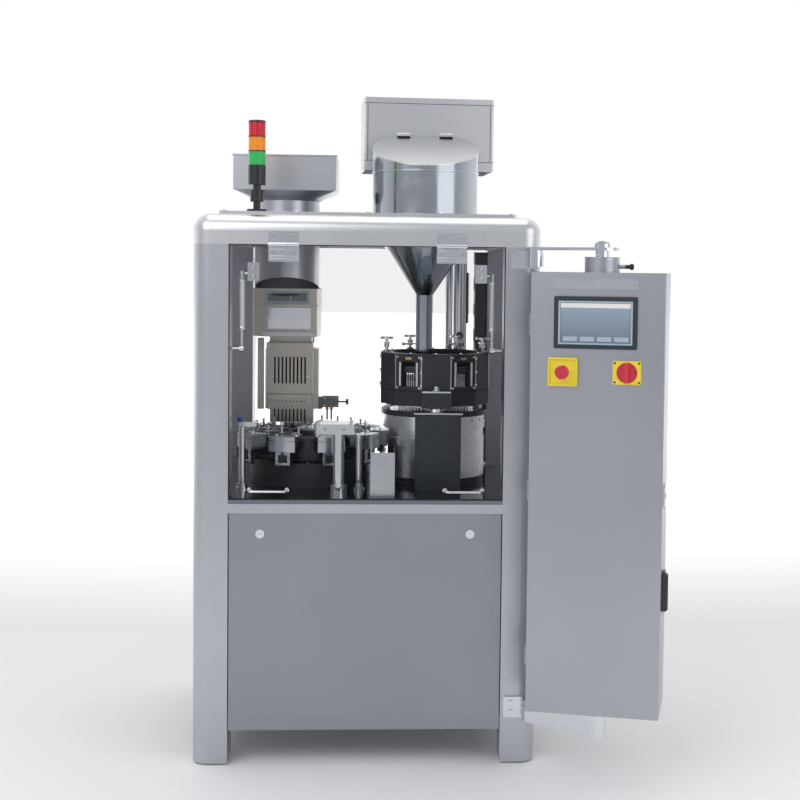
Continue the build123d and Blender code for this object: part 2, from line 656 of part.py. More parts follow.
with BuildPart() as magazine_front:
    block((-342, -186), (MAG_Y, MAG_Y + 10), (1053, 1202))
    block((-337, -191), (MAG_Y - 6, MAG_Y + 10), (1001, 1050))
    with BuildSketch(facing(MAG_Y - 10)):
        with Locations((MAGAZINE_X, 1130)):
            with GridLocations(SLOT_PITCH, 1, SLOTS, 1):
                SlotOverall(92, 5.6, rotation=90)
        with Locations((MAGAZINE_X, 1027)):
            with GridLocations(SLOT_PITCH, 1, SLOTS, 1):
                Circle(2.4)
    extrude(amount=-20, mode=Mode.SUBTRACT)
save(magazine_front.part, "magazine_front")

RAKE_Z = SEGMENT_TOP + 4
with BuildPart() as capsule_rake:
    block((-330, -186), (MAG_Y, 222), (RAKE_Z, 1001))
    with BuildSketch(facing(MAG_Y)):
        with Locations((MAGAZINE_X, (RAKE_Z + 1001) / 2)):
            with GridLocations(SLOT_PITCH, 1, SLOTS, 1):
                Rectangle(5, 50)
    extrude(amount=-12, mode=Mode.SUBTRACT)
save(capsule_rake.part, "capsule_rake")

BLOW_Y = (158, 190)
HOSES = (-141, -127)
with BuildPart() as blow_unit:
    block((-157, -103), BLOW_Y, (1006, 1043))
    block((-170, -157), (162, 186), (1000, 1040))
    axle((-103, -72), (174, 1024), 3)
    axle((-78, -70), (174, 1024), 9)
    for x in HOSES:
        rod((x, 174), 4.5, (998, 1006))
        rod((x, 174), 3, (RAKE_Z + 6, 998))
save(blow_unit.part, "blow_unit")

# ================= posts, chute and signal tower =================

with BuildPart() as station_posts:
    rod((-86, -300), 25, (TABLE_TOP, 820))
    rod((-86, -300), 17, (820, 972))
    block((-159, -38), (-322, -225), (972, 1003))
    fillet(station_posts.edges().filter_by(Axis.Z).group_by(Axis.X)[0], radius=14)
    rod((-26, -235), 9.5, (TABLE_TOP, 963))
    rod((-385, -212), 10, (TABLE_TOP, 996))
    block((-402, -340), (-226, -198), (984, 998))
    for at, radius in COLUMNS:
        rod(at, radius, (TABLE_TOP, LOADER_TOP - 3))
    for at in ROD_XY:
        rod(at, GUIDE_ROD_R, (TABLE_TOP, 1236))
save(station_posts.part, "station_posts")

CHUTE_X, CHUTE_Y = (12, 84), (-398, -225)
with BuildPart() as discharge_chute:
    block(CHUTE_X, CHUTE_Y, (TABLE_TOP, 928))
    block((CHUTE_X[0] + 2, CHUTE_X[1] - 2), (CHUTE_Y[0] + 2, CHUTE_Y[1]), (860, 930), Mode.SUBTRACT)
    block((CHUTE_X[0] + 2, CHUTE_X[1] - 2), (CHUTE_Y[0] + 2, CHUTE_Y[1]), (780, 856), Mode.SUBTRACT)
save(discharge_chute.part, "discharge_chute")

SIGNAL = (-335, -300)
with BuildPart() as signal_stem:
    rod(SIGNAL, 30, (FRAME_H + 10, FRAME_H + 18))
    rod(SIGNAL, 11, (FRAME_H + 18, 1668))
    rod(SIGNAL, 20, (1668, 1703))
    rod(SIGNAL, 12, (1703, 1718))
    rod(SIGNAL, 26, (1718, 1777))
    for z in (1817, 1860):
        rod(SIGNAL, 26, (z, z + 3))
    rod(SIGNAL, 26, (1903, 1910))
    fillet(signal_stem.edges().group_by(Axis.Z)[-1], radius=4)
save(signal_stem.part, "signal_stem")


def signal_lens(z, name):
    """One coloured lens of the signal tower."""
    with BuildPart() as lens:
        ring(SIGNAL, 25, 21, z)
    save(lens.part, name)


signal_lens((1777, 1817), "signal_green")
signal_lens((1820, 1860), "signal_amber")
signal_lens((1863, 1903), "signal_red")

# ================= swing arms and control cabinet =================

STUB_R = 15
BARREL_LOW = CAB_TOP + 14       # the cabinet's top passes under the upper bracket
with BuildPart() as arm_brackets:
    plate = (FRONT_Y - 7, FRONT_Y)
    block((418, 500), plate, (1478, 1530))
    block((ARM_AXIS[0] - 20, ARM_AXIS[0] + 20), (ARM_AXIS[1], FRONT_Y), (BARREL_LOW, 1518))
    rod(ARM_AXIS, 24, (BARREL_LOW, 1526))
    rod(ARM_AXIS, STUB_R + RUNNING, (BARREL_LOW - 2, 1530), Mode.SUBTRACT)
    block((413, 500), plate, (142, 204))
    block((ARM_AXIS[0] - 20, ARM_AXIS[0] + 20), (ARM_AXIS[1], FRONT_Y), (189, 204))
    rod(ARM_AXIS, 22, (189, 204))
    rod(ARM_AXIS, 10 + RUNNING, (180, 210), Mode.SUBTRACT)
    for z in (1520, 1494, 186, 158):
        with BuildSketch(facing(plate[0], (435.5, z))):
            Circle(8)
        extrude(amount=5)
save(arm_brackets.part, "arm_brackets")


def arm_plan(root, end):
    """A tapered arm from the bracket's axis to the cabinet's pivot."""
    with BuildSketch() as outline:
        with Locations(ARM_AXIS):
            Circle(root)
        with Locations(PIVOT):
            Circle(end)
        make_hull()
    return outline.sketch


with BuildPart() as cabinet_arms:
    with BuildSketch(level(ARM_Z)):
        add(arm_plan(24, 50))
    extrude(amount=9)
    rod(ARM_AXIS, STUB_R, (BARREL_LOW + 2, ARM_Z))
    ring(ARM_AXIS, 22, STUB_R - 1, (1527, ARM_Z))
    rod(PIVOT, 20, (1480, ARM_Z))
    rod(PIVOT, 24, (ARM_Z + 9, 1552))
    rod(PIVOT, 12, (1552, 1560))
    with BuildSketch(level(BAR_Z)):
        add(arm_plan(22, 33))
    extrude(amount=BAR_TOP - BAR_Z)
    with BuildSketch(facing(-700)):
        Polygon((400, 90), (740, 90), (740, BAR_Z), (650, BAR_Z), (480, 142), (400, 142), align=None)
    extrude(amount=-300, mode=Mode.SUBTRACT)
    rod(ARM_AXIS, 10, (BAR_TOP, 202))
    rod(PIVOT, STUB_R, (BAR_TOP, CAB_Z + 30))
    ring(PIVOT, 26, STUB_R - 1, (BAR_TOP, CAB_Z - 1))
save(cabinet_arms.part, "cabinet_arms")

CAB_SPIN = radians(-CAB_TURN)
CAB_X = (cos(CAB_SPIN), sin(CAB_SPIN), 0)
CAB_Y = (-sin(CAB_SPIN), cos(CAB_SPIN), 0)
DOOR_BACK = -CAB_D / 2 + DOOR_D


def cab_point(x, y, z):
    """A point given in the cabinet's own axes: x to its right, y to its back, from the pivot."""
    return (PIVOT[0] + x * CAB_X[0] + y * CAB_Y[0], PIVOT[1] + x * CAB_X[1] + y * CAB_Y[1], z)


def cab_level(z):
    """A horizontal plane in the cabinet's axes, with its origin on the pivot."""
    return Plane(origin=cab_point(0, 0, z), x_dir=CAB_X, z_dir=(0, 0, 1))


def cab_front(x, z, y=-CAB_D / 2):
    """An upright plane on the cabinet's front, with its origin at (x, z)."""
    return Plane(origin=cab_point(x, y, z), x_dir=CAB_X, z_dir=(-CAB_Y[0], -CAB_Y[1], 0))


def cab_side(y, z):
    """An upright plane on the cabinet's right side, with its origin at (y, z)."""
    return Plane(origin=cab_point(CAB_W / 2, y, z), x_dir=CAB_Y, z_dir=CAB_X)


def cab_block(x, y, z, mode=Mode.ADD):
    """A box given by its limits in the cabinet's axes."""
    with BuildSketch(cab_level(z[0])) as plan:
        with Locations(((x[0] + x[1]) / 2, (y[0] + y[1]) / 2)):
            Rectangle(x[1] - x[0], y[1] - y[0])
    extrude(plan.sketch, amount=z[1] - z[0], mode=mode)


def cab_rod(at, radius, z, mode=Mode.ADD):
    """An upright cylinder at a plan point of the cabinet's axes."""
    rod(cab_point(*at, 0)[:2], radius, z, mode)


HALF = CAB_W / 2
LATCH_Y, LATCH_Z = -72, 845
GRIP_Y, GRIP_Z = (-88, -62), (520, 626)
GRIP_PIN = (HALF + 6, GRIP_Y[1] - 4)
GRIP_PIN_R = 2.5
# lift-off hinges on the cabinet's left edge: the body carries the pin, the door drops over it
BARREL_AT = (-HALF - 7, DOOR_BACK + 0.5)
BARREL_R, BARREL_PIN_R, BARREL_L = 6, 3.5, 29
BARREL_Z = (330, 812, 1290)
LEAF_X = (BARREL_AT[0], -HALF + 2)
with BuildPart() as cabinet_body:
    cab_block((-HALF, HALF), (DOOR_BACK + 1, CAB_D / 2), (CAB_Z, CAB_TOP))
    fillet(cabinet_body.edges().filter_by(Axis.Z), radius=4)
    inside = (DOOR_BACK, CAB_D / 2 - SHEET)
    cab_block((-HALF + SHEET, HALF - SHEET), inside, (CAB_Z + SHEET, CAB_TOP - SHEET), Mode.SUBTRACT)
    rod(PIVOT, 50, (CAB_TOP, 1514))
    rod(PIVOT, 30, (CAB_Z + 1, CAB_Z + 34))
    rod(PIVOT, STUB_R + RUNNING, (CAB_Z - 5, CAB_Z + 40), Mode.SUBTRACT)
    rod(PIVOT, 20 + RUNNING, (1478, 1520), Mode.SUBTRACT)
    axle((PIVOT[0] + 46, PIVOT[0] + 66), (PIVOT[1], 1487), 6)
    for z in BARREL_Z:
        cab_rod(BARREL_AT, BARREL_R, (z, z + BARREL_L))
        cab_block(LEAF_X, (DOOR_BACK + 1.5, DOOR_BACK + 6.5), (z, z + BARREL_L))
        cab_rod(BARREL_AT, BARREL_PIN_R, (z, z + 2 * BARREL_L))
save(cabinet_body.part, "cabinet_body")

with BuildPart() as control_gear:
    cab_block((-165, 165), (92, CAB_D / 2 - SHEET), (270, 1410))
    cab_block((-150, -30), (10, 92), (1080, 1330))
    cab_block((0, 140), (20, 92), (1120, 1320))
    cab_block((-150, 150), (50, 92), (960, 1010))
    cab_block((-150, -20), (0, 92), (640, 880))
    cab_block((10, 150), (10, 92), (690, 870))
    cab_block((-150, 150), (50, 92), (420, 470))
    cab_block((-140, 140), (60, 92), (310, 350))
save(control_gear.part, "control_gear")

HMI_X, HMI_Z = (-122, 112), (1256, 1403)
HMI_MID = ((HMI_X[0] + HMI_X[1]) / 2, (HMI_Z[0] + HMI_Z[1]) / 2)
HMI_SIZE = (HMI_X[1] - HMI_X[0], HMI_Z[1] - HMI_Z[0])
ESTOP = (-94.5, 1190)
SWITCH = (85, 1191)
HOLE_R = 11
with BuildPart() as cabinet_door:
    cab_block((-HALF, HALF), (-CAB_D / 2, DOOR_BACK), (CAB_Z, CAB_TOP))
    fillet(cabinet_door.edges().filter_by(Axis.Z), radius=4)
    inside = (-CAB_D / 2 + SHEET, DOOR_BACK)
    cab_block((-HALF + SHEET, HALF - SHEET), inside, (CAB_Z + SHEET, CAB_TOP - SHEET), Mode.SUBTRACT)
    with BuildSketch(cab_front(*HMI_MID)):
        Rectangle(HMI_SIZE[0] - 20, HMI_SIZE[1] - 20)
    extrude(amount=-10, mode=Mode.SUBTRACT)
    for spot in (ESTOP, SWITCH):
        with BuildSketch(cab_front(*spot)):
            Circle(HOLE_R)
        extrude(amount=-10, mode=Mode.SUBTRACT)
    with BuildSketch(cab_side(LATCH_Y, LATCH_Z)):
        Circle(LOCK_R + RUNNING)
    extrude(amount=-10, mode=Mode.SUBTRACT)
    for z in BARREL_Z:
        barrel = (z + BARREL_L + 0.3, z + 2 * BARREL_L + 2)
        cab_rod(BARREL_AT, BARREL_R, barrel)
        cab_block(LEAF_X, (DOOR_BACK - 5.5, DOOR_BACK - 0.5), barrel)
        cab_rod(BARREL_AT, BARREL_PIN_R + RUNNING, barrel, Mode.SUBTRACT)
    for z in ((GRIP_Z[0] - 8, GRIP_Z[0] - 0.5), (GRIP_Z[1] + 0.5, GRIP_Z[1] + 8)):
        cab_block((HALF - 1, HALF + 11), (GRIP_PIN[1] - 5, GRIP_PIN[1] + 5), z)
        cab_rod(GRIP_PIN, GRIP_PIN_R + RUNNING, z, Mode.SUBTRACT)
save(cabinet_door.part, "cabinet_door")

with BuildPart() as hmi_panel:
    with BuildSketch(cab_front(*HMI_MID)):
        RectangleRounded(*HMI_SIZE, 5)
    extrude(amount=8)
    chamfer(hmi_panel.faces().sort_by(Axis.Y)[0].edges(), length=2)
    with BuildSketch(cab_front(*HMI_MID)):
        Rectangle(HMI_SIZE[0] - 20, HMI_SIZE[1] - 20)
    extrude(amount=-36)
    with BuildSketch(cab_front(HMI_MID[0], HMI_MID[1] - 2, -CAB_D / 2 - 8)):
        Rectangle(200, 114)
    extrude(amount=-3, mode=Mode.SUBTRACT)
save(hmi_panel.part, "hmi_panel")

with BuildPart() as hmi_screen:
    with BuildSketch(cab_front(HMI_MID[0], HMI_MID[1] - 2, -CAB_D / 2 - 5)):
        Rectangle(199, 113)
    extrude(amount=1.5)
save(hmi_screen.part, "hmi_screen")

with BuildPart() as name_plate:
    with BuildSketch(cab_front(-8, 1438)):
        RectangleRounded(244, 30, 4)
    extrude(amount=2)
save(name_plate.part, "name_plate")

with BuildPart() as switch_plates:
    with BuildSketch(cab_front(*ESTOP)):
        RectangleRounded(83, 80, 6)
        Circle(HOLE_R, mode=Mode.SUBTRACT)
    extrude(amount=12)
    with BuildSketch(cab_front(*SWITCH)):
        RectangleRounded(79, 66, 4)
        Circle(HOLE_R, mode=Mode.SUBTRACT)
    extrude(amount=4)
    for spot in (ESTOP, SWITCH):
        with BuildSketch(cab_front(*spot)):
            Circle(HOLE_R)
            Circle(8 + RUNNING, mode=Mode.SUBTRACT)
        extrude(amount=-30)
        with BuildSketch(cab_front(*spot)):
            Circle(HOLE_R)
            Circle(8 + RUNNING, mode=Mode.SUBTRACT)
        extrude(amount=4)
save(switch_plates.part, "switch_plates")

with BuildPart() as estop_button:
    with BuildSketch(cab_front(*ESTOP, -CAB_D / 2 + 20)):
        Circle(8)
    extrude(amount=42)
    with BuildSketch(cab_front(*ESTOP, -CAB_D / 2 - 21)):
        Circle(20)
    extrude(amount=14)
    fillet(estop_button.faces().sort_by(Axis.Y)[0].edges(), radius=5)
save(estop_button.part, "estop_button")

with BuildPart() as switch_knob:
    with BuildSketch(cab_front(*SWITCH, -CAB_D / 2 + 20)):
        Circle(8)
    extrude(amount=26)
    with BuildSketch(cab_front(*SWITCH, -CAB_D / 2 - 5)):
        Circle(24)
    extrude(amount=8)
    with BuildSketch(cab_front(*SWITCH, -CAB_D / 2 - 13)):
        SlotOverall(56, 14, rotation=90)
    extrude(amount=18)
save(switch_knob.part, "switch_knob")

GRIP_MID = ((GRIP_Y[0] + GRIP_PIN[1]) / 2, (GRIP_Z[0] + GRIP_Z[1]) / 2)
with BuildPart() as cabinet_handle:
    with BuildSketch(cab_side(*GRIP_MID).offset(1)):
        Rectangle(GRIP_PIN[1] - GRIP_Y[0], GRIP_Z[1] - GRIP_Z[0])
    extrude(amount=18)
    chamfer(cabinet_handle.faces().sort_by(Axis.X)[-1].edges(), length=4)
    cab_rod(GRIP_PIN, 4, GRIP_Z)
    cab_rod(GRIP_PIN, GRIP_PIN_R, (GRIP_Z[0] - 6, GRIP_Z[1] + 6))
save(cabinet_handle.part, "cabinet_handle")

with BuildPart() as cabinet_lock:
    outside = cab_side(LATCH_Y, LATCH_Z).offset(1.5)
    with BuildSketch(outside):
        SlotOverall(70, 24, rotation=90)
    extrude(amount=5)
    with BuildSketch(outside):
        Circle(LOCK_R)
    extrude(amount=-19.5)
save(cabinet_lock.part, "cabinet_lock")

# ================= drive in the base =================

DRIVE_Y = (-280, -120)
with BuildPart() as drive_motor:
    block((-90, 90), DRIVE_Y, (FLOOR_PLATE_Z + 6, 350))
    axle((-340, -90), (-200, 262), 82)
    block((-320, -110), (-250, -150), (FLOOR_PLATE_Z + 6, 190))
    axle((-352, -340), (-200, 262), 70)
    axle((90, 130), (-200, 262), 16)
save(drive_motor.part, "drive_motor")

with BuildPart() as camshaft:
    axle((-396, 396), (0, SHAFT_Z), SHAFT_R)
    for x in (-300, -180, -60, 90, 200, 300):
        with BuildSketch(across(x, (0, SHAFT_Z))):
            with Locations((12, 0)):
                Circle(75)
        extrude(amount=18)
save(camshaft.part, "camshaft")

with BuildPart() as indexers:
    under = TABLE_TOP - TABLE_T
    for at, size, radius in ((TURRET, 220, TURRET_SHAFT_R), (DOSER, 180, DOSER_SHAFT_R)):
        half = size / 2
        block((at[0] - half, at[0] + half), (at[1] - half, at[1] + half), (560, under))
        rod(at, radius + RUNNING, (590, under), Mode.SUBTRACT)
save(indexers.part, "indexers")

with BuildPart() as vacuum_pump:
    block((130, 370), (130, 320), (FLOOR_PLATE_Z + 6, 176))
    axle((140, 260), (225, 262), 86)
    axle((260, 360), (225, 262), 62)
    block((170, 240), (200, 250), (340, 372))
save(vacuum_pump.part, "vacuum_pump")
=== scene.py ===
from math import cos, pi, radians, sin

import bmesh
import bpy
from mathutils import Matrix, Vector


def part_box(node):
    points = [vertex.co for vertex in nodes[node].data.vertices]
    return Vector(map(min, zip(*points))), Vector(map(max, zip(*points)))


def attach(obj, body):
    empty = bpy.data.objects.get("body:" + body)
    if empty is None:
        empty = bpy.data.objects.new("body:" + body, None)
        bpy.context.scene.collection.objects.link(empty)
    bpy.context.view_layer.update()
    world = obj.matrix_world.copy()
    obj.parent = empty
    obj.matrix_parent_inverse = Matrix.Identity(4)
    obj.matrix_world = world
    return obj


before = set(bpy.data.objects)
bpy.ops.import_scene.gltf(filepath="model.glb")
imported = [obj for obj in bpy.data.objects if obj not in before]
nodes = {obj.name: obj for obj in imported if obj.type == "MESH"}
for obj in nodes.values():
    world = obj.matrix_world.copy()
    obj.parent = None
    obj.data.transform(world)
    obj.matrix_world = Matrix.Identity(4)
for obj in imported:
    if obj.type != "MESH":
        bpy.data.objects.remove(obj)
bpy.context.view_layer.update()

MM = 0.001
low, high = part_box("corner_posts")
# the machine's own origin: the middle of the frame's footprint, on the floor
MACHINE = Vector(((low.x + high.x) / 2, (low.y + high.y) / 2, 0))


def at(x, y, z):
    """A point of the machine's own frame in millimetres, as metres in the shared frame."""
    return MACHINE + Vector((x, y, z)) * MM


# ---------------------------------------------------------------- camera

EYE = (57, -4556, 1482)
YAW, PITCH, ROLL = radians(3.19), radians(-2.97), radians(0.70)
LENS, SENSOR = 63.36, 36.0
SHIFT = (-0.0815, -0.0754)


def make_camera():
    """The viewing angle, as a yaw, a pitch and a roll about the eye."""
    forward = Vector((sin(YAW) * cos(PITCH), cos(YAW) * cos(PITCH), sin(PITCH)))
    right = Vector((cos(YAW), -sin(YAW), 0))
    up = right.cross(forward)
    rolled_right = cos(ROLL) * right + sin(ROLL) * up
    rolled_up = -sin(ROLL) * right + cos(ROLL) * up
    data = bpy.data.cameras.new("camera")
    data.lens, data.sensor_width = LENS, SENSOR
    data.shift_x, data.shift_y = SHIFT
    camera = bpy.data.objects.new("camera", data)
    turn = Matrix((rolled_right, rolled_up, -forward)).transposed().to_4x4()
    camera.matrix_world = Matrix.Translation(at(*EYE)) @ turn
    bpy.context.scene.collection.objects.link(camera)
    bpy.context.scene.camera = camera


make_camera()

# ---------------------------------------------------------------- materials


class Shader:
    """A material under construction: its nodes, its links and its shader."""

    def __init__(self, name, color, rough, metal=0.0):
        self.material = bpy.data.materials.new(name)
        self.material.use_nodes = True
        self.tree = self.material.node_tree
        self.bsdf = self.tree.nodes["Principled BSDF"]
        self.bsdf.inputs["Base Color"].default_value = (*color, 1)
        self.bsdf.inputs["Roughness"].default_value = rough
        self.bsdf.inputs["Metallic"].default_value = metal
        self.color, self.rough = color, rough

    def node(self, kind, **values):
        made = self.tree.nodes.new(kind)
        for key, value in values.items():
            made.inputs[key.replace("_", " ")].default_value = value
        return made

    def link(self, source, out, target, into):
        self.tree.links.new(source.outputs[out], target.inputs[into])

    def noise(self, scale, stretch=(1, 1, 1), detail=4.0):
        """Noise in the object's own coordinates, stretched along an axis."""
        coords = self.node("ShaderNodeTexCoord")
        mapping = self.node("ShaderNodeMapping", Scale=stretch)
        noise = self.node("ShaderNodeTexNoise", Scale=scale, Detail=detail)
        self.link(coords, "Object", mapping, "Vector")
        self.link(mapping, "Vector", noise, "Vector")
        return noise

    def spread(self, source, into, lows, highs, out="Fac"):
        """Drive a number from a noise, between two values."""
        ramp = self.node("ShaderNodeMapRange", From_Min=0.3, From_Max=0.7, To_Min=lows, To_Max=highs)
        self.link(source, out, ramp, "Value")
        self.link(ramp, "Result", self.bsdf, into)

    def tint(self, source, amount):
        """Lighten and darken the colour a little, by a noise."""
        ramp = self.node("ShaderNodeValToRGB")
        for stop, factor in zip(ramp.color_ramp.elements, (1 - amount, 1 + amount)):
            stop.color = (*[min(1.0, c * factor) for c in self.color], 1)
        ramp.color_ramp.elements[0].position = 0.3
        ramp.color_ramp.elements[1].position = 0.7
        self.link(source, "Fac", ramp, "Fac")
        self.link(ramp, "Color", self.bsdf, "Base Color")

    def bump(self, source, strength, distance):
        made = self.node("ShaderNodeBump", Strength=strength, Distance=distance)
        self.link(source, "Fac", made, "Height")
        self.link(made, "Normal", self.bsdf, "Normal")


def brushed(name, color, rough, grain=(0.2, 60, 60), depth=0.00004, cloud=0.05):
    """Sheet metal with a fine grain along one direction and faint clouding."""
    s = Shader(name, color, rough, 1.0)
    grain_noise = s.noise(55.0, grain, 3.0)
    s.spread(grain_noise, "Roughness", rough - 0.05, rough + 0.07)
    s.bump(grain_noise, 0.25, depth)
    s.tint(s.noise(2.2), cloud)
    return s.material


def polished(name, color, rough):
    """Mirror metal with faint smears."""
    s = Shader(name, color, rough, 1.0)
    s.spread(s.noise(14.0), "Roughness", rough * 0.6, rough * 1.7)
    s.tint(s.noise(5.0), 0.03)
    return s.material


def moulded(name, color, rough, grain=500.0, coat=0.0):
    """Moulded plastic or paint with a fine surface grain."""
    s = Shader(name, color, rough)
    fine = s.noise(grain)
    s.spread(fine, "Roughness", rough - 0.06, rough + 0.08)
    s.bump(fine, 0.15, 0.00006)
    s.tint(s.noise(9.0), 0.05)
    s.bsdf.inputs["Coat Weight"].default_value = coat
    return s.material


def anodised(name, color, rough):
    s = Shader(name, color, rough, 0.55)
    fine = s.noise(320.0)
    s.spread(fine, "Roughness", rough - 0.05, rough + 0.08)
    s.bump(fine, 0.03, 0.00002)
    s.tint(s.noise(7.0), 0.10)
    return s.material


def sheet_plastic(name, color, opacity, rough):
    """A clear or smoked sheet: mostly open, with a glossy face."""
    s = Shader(name, color, rough)
    s.bsdf.inputs["Alpha"].default_value = opacity
    s.bsdf.inputs["IOR"].default_value = 1.49
    s.spread(s.noise(3.0), "Roughness", rough, rough + 0.05)
    return s.material


def lens(name, color):
    """A translucent coloured lens with a ribbed face."""
    s = Shader(name, color, 0.22)
    s.bsdf.inputs["Transmission Weight"].default_value = 0.25
    s.bsdf.inputs["Emission Color"].default_value = (*color, 1)
    s.bsdf.inputs["Emission Strength"].default_value = 0.10
    coords = s.node("ShaderNodeTexCoord")
    wave = s.node("ShaderNodeTexWave", Scale=60.0)
    wave.bands_direction = "X"
    s.link(coords, "Object", wave, "Vector")
    s.bump(wave, 0.35, 0.0004)
    s.tint(s.noise(20.0), 0.06)
    return s.material


STEEL = brushed("brushed_stainless", (0.52, 0.53, 0.57), 0.32)
BRIGHT_STEEL = brushed("bright_stainless", (0.66, 0.67, 0.69), 0.30)
PANEL = brushed("panel_sheet", (0.335, 0.35, 0.39), 0.40, (60, 60, 1))
DOOR = brushed("cabinet_sheet", (0.43, 0.445, 0.485), 0.36)
MIRROR = polished("polished_steel", (0.72, 0.74, 0.77), 0.10)
HOPPER_STEEL = polished("hopper_steel", (0.44, 0.47, 0.51), 0.13)
TABLE = polished("dark_table", (0.20, 0.22, 0.25), 0.10)
WARM = brushed("ground_steel", (0.50, 0.47, 0.43), 0.30)
CAST_STEEL = brushed("turned_steel", (0.56, 0.58, 0.61), 0.20, (1, 1, 90))
BLACK_METAL = anodised("black_anodised", (0.042, 0.045, 0.052), 0.30)
DRUM_STEEL = brushed("drum_steel", (0.86, 0.88, 0.90), 0.26, (1, 1, 90))
SLATE = anodised("slate_anodised", (0.042, 0.046, 0.056), 0.42)
BLACK = moulded("black_plastic", (0.008, 0.009, 0.011), 0.35, coat=0.3)
BEZEL = moulded("bezel_plastic", (0.020, 0.030, 0.042), 0.42)
INNER_BEZEL = moulded("inner_bezel", (0.38, 0.46, 0.54), 0.40)
YELLOW = moulded("yellow_plastic", (0.90, 0.72, 0.03), 0.30, coat=0.3)
RED = moulded("red_plastic", (0.60, 0.018, 0.045), 0.28, coat=0.5)
WHITE = moulded("white_plastic", (0.80, 0.80, 0.76), 0.45)
CREAM = moulded("cream_plate", (0.62, 0.58, 0.50), 0.50)
GREY_PAINT = moulded("grey_paint", (0.10, 0.13, 0.15), 0.50, 260.0)
DUCT = moulded("duct_paint", (0.085, 0.090, 0.105), 0.42, 260.0)
MODULE = moulded("grey_modules", (0.22, 0.23, 0.24), 0.50)
BRASS = brushed("brass", (0.78, 0.55, 0.22), 0.25)
COPPER = brushed("copper", (0.74, 0.36, 0.20), 0.28)
BLUE = moulded("blue_plastic", (0.02, 0.08, 0.42), 0.35)
RUBBER = moulded("rubber", (0.018, 0.018, 0.019), 0.70, 700.0)
# near-black: painted shade in the magazine slot, hole and cabinet vent openings, and the dark seam lines on
# the turret and the dosing head
SHADE_AND_SEAM_BLACK = moulded("painted_shade_and_seam_black", (0.004, 0.004, 0.005), 0.80)
CLEAR = sheet_plastic("clear_sheet", (0.02, 0.03, 0.03), 0.035, 0.03)
SMOKED = sheet_plastic("smoked_sheet", (0.33, 0.28, 0.34), 0.50, 0.08)
LENS_RED = lens("red_lens", (0.62, 0.012, 0.04))
LENS_AMBER = lens("amber_lens", (0.85, 0.30, 0.015))
LENS_GREEN = lens("green_lens", (0.035, 0.50, 0.12))


def screen_material():
    """A display behind glass: a faint vertical fade under a clear coat."""
    s = Shader("display_glass", (0.20, 0.27, 0.34), 0.15)
    s.bsdf.inputs["Coat Weight"].default_value = 0.8
    coords = s.node("ShaderNodeTexCoord")
    gradient = s.node("ShaderNodeSeparateXYZ")
    s.link(coords, "Generated", gradient, "Vector")
    ramp = s.node("ShaderNodeValToRGB")
    ramp.color_ramp.elements[0].color = (0.13, 0.18, 0.24, 1)
    ramp.color_ramp.elements[1].color = (0.30, 0.38, 0.46, 1)
    s.link(gradient, "Z", ramp, "Fac")
    s.link(ramp, "Color", s.bsdf, "Base Color")
    return s.material


SCREEN = screen_material()

FINISH = {
    STEEL: ("corner_posts", "frame_rails", "auger_drive", "auger", "camshaft", "discharge_chute",
            "capsule_hopper"),
    BRIGHT_STEEL: ("top_ring", "top_plate", "feeder_box", "hopper_lid", "strut_tubes"),
    DRUM_STEEL: ("dosing_drum",),
    PANEL: ("lower_panels",),
    DOOR: ("cabinet_body", "cabinet_door"),
    MIRROR: ("panel_lock_left", "panel_lock_right", "window_fittings", "window_hinges", "window_handles",
             "strut_rods", "dosing_disc", "tamping_knobs", "tamping_pins", "station_posts",
             "arm_brackets", "cabinet_arms", "name_plate", "cabinet_lock"),
    HOPPER_STEEL: ("powder_hopper",),
    TABLE: ("table_plate",),
    WARM: ("capsule_chute", "magazine_body", "magazine_front", "capsule_rake"),
    CAST_STEEL: ("lower_segments", "upper_segments"),
    BLACK_METAL: ("station_rings", "turret_drum", "indexers"),
    SLATE: ("front_cover", "tamping_head"),
    BLACK: ("signal_stem", "cabinet_handle"),
    BEZEL: ("hmi_panel",),
    YELLOW: ("switch_plates",),
    RED: ("estop_button", "switch_knob"),
    GREY_PAINT: ("drive_motor", "vacuum_pump"),
    MODULE: ("control_gear", "blow_unit"),
    CLEAR: ("front_window",),
    SMOKED: ("fixed_windows",),
    SCREEN: ("hmi_screen", "sight_glass"),
    LENS_RED: ("signal_red",),
    LENS_AMBER: ("signal_amber",),
    LENS_GREEN: ("signal_green",),
}


def paint_nodes():
    painted = set()
    for material, names in FINISH.items():
        for name in names:
            node = nodes[name]
            node.data.materials.clear()
            node.data.materials.append(material)
            painted.add(name)
    assert painted == set(nodes), sorted(set(nodes) - painted)
    # the back pane is clear, the side panes are smoked
    panes = nodes["fixed_windows"].data
    panes.materials.append(CLEAR)
    inner_back = at(0, 380, 0).y
    for face in panes.polygons:
        if face.center.y > inner_back:
            face.material_index = 1


paint_nodes()

# ---------------------------------------------------------------- piece makers


def piece(name, body, material, make, bevel=0.0):
    """A new mesh piece: `make` fills a bmesh in metres, in the shared frame."""
    mesh = bpy.data.meshes.new(name)
    bm = bmesh.new()
    make(bm)
    bmesh.ops.recalc_face_normals(bm, faces=bm.faces)
    bm.to_mesh(mesh)
    bm.free()
    made = bpy.data.objects.new(name, mesh)
    bpy.context.scene.collection.objects.link(made)
    mesh.materials.append(material)
    if bevel:
        modifier = made.modifiers.new("bevel", "BEVEL")
        modifier.width, modifier.segments = bevel * MM, 2
        modifier.limit_method = "ANGLE"
    for face in mesh.polygons:
        face.use_smooth = True
    mesh.set_sharp_from_angle(angle=radians(35))
    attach(made, body)
    return made


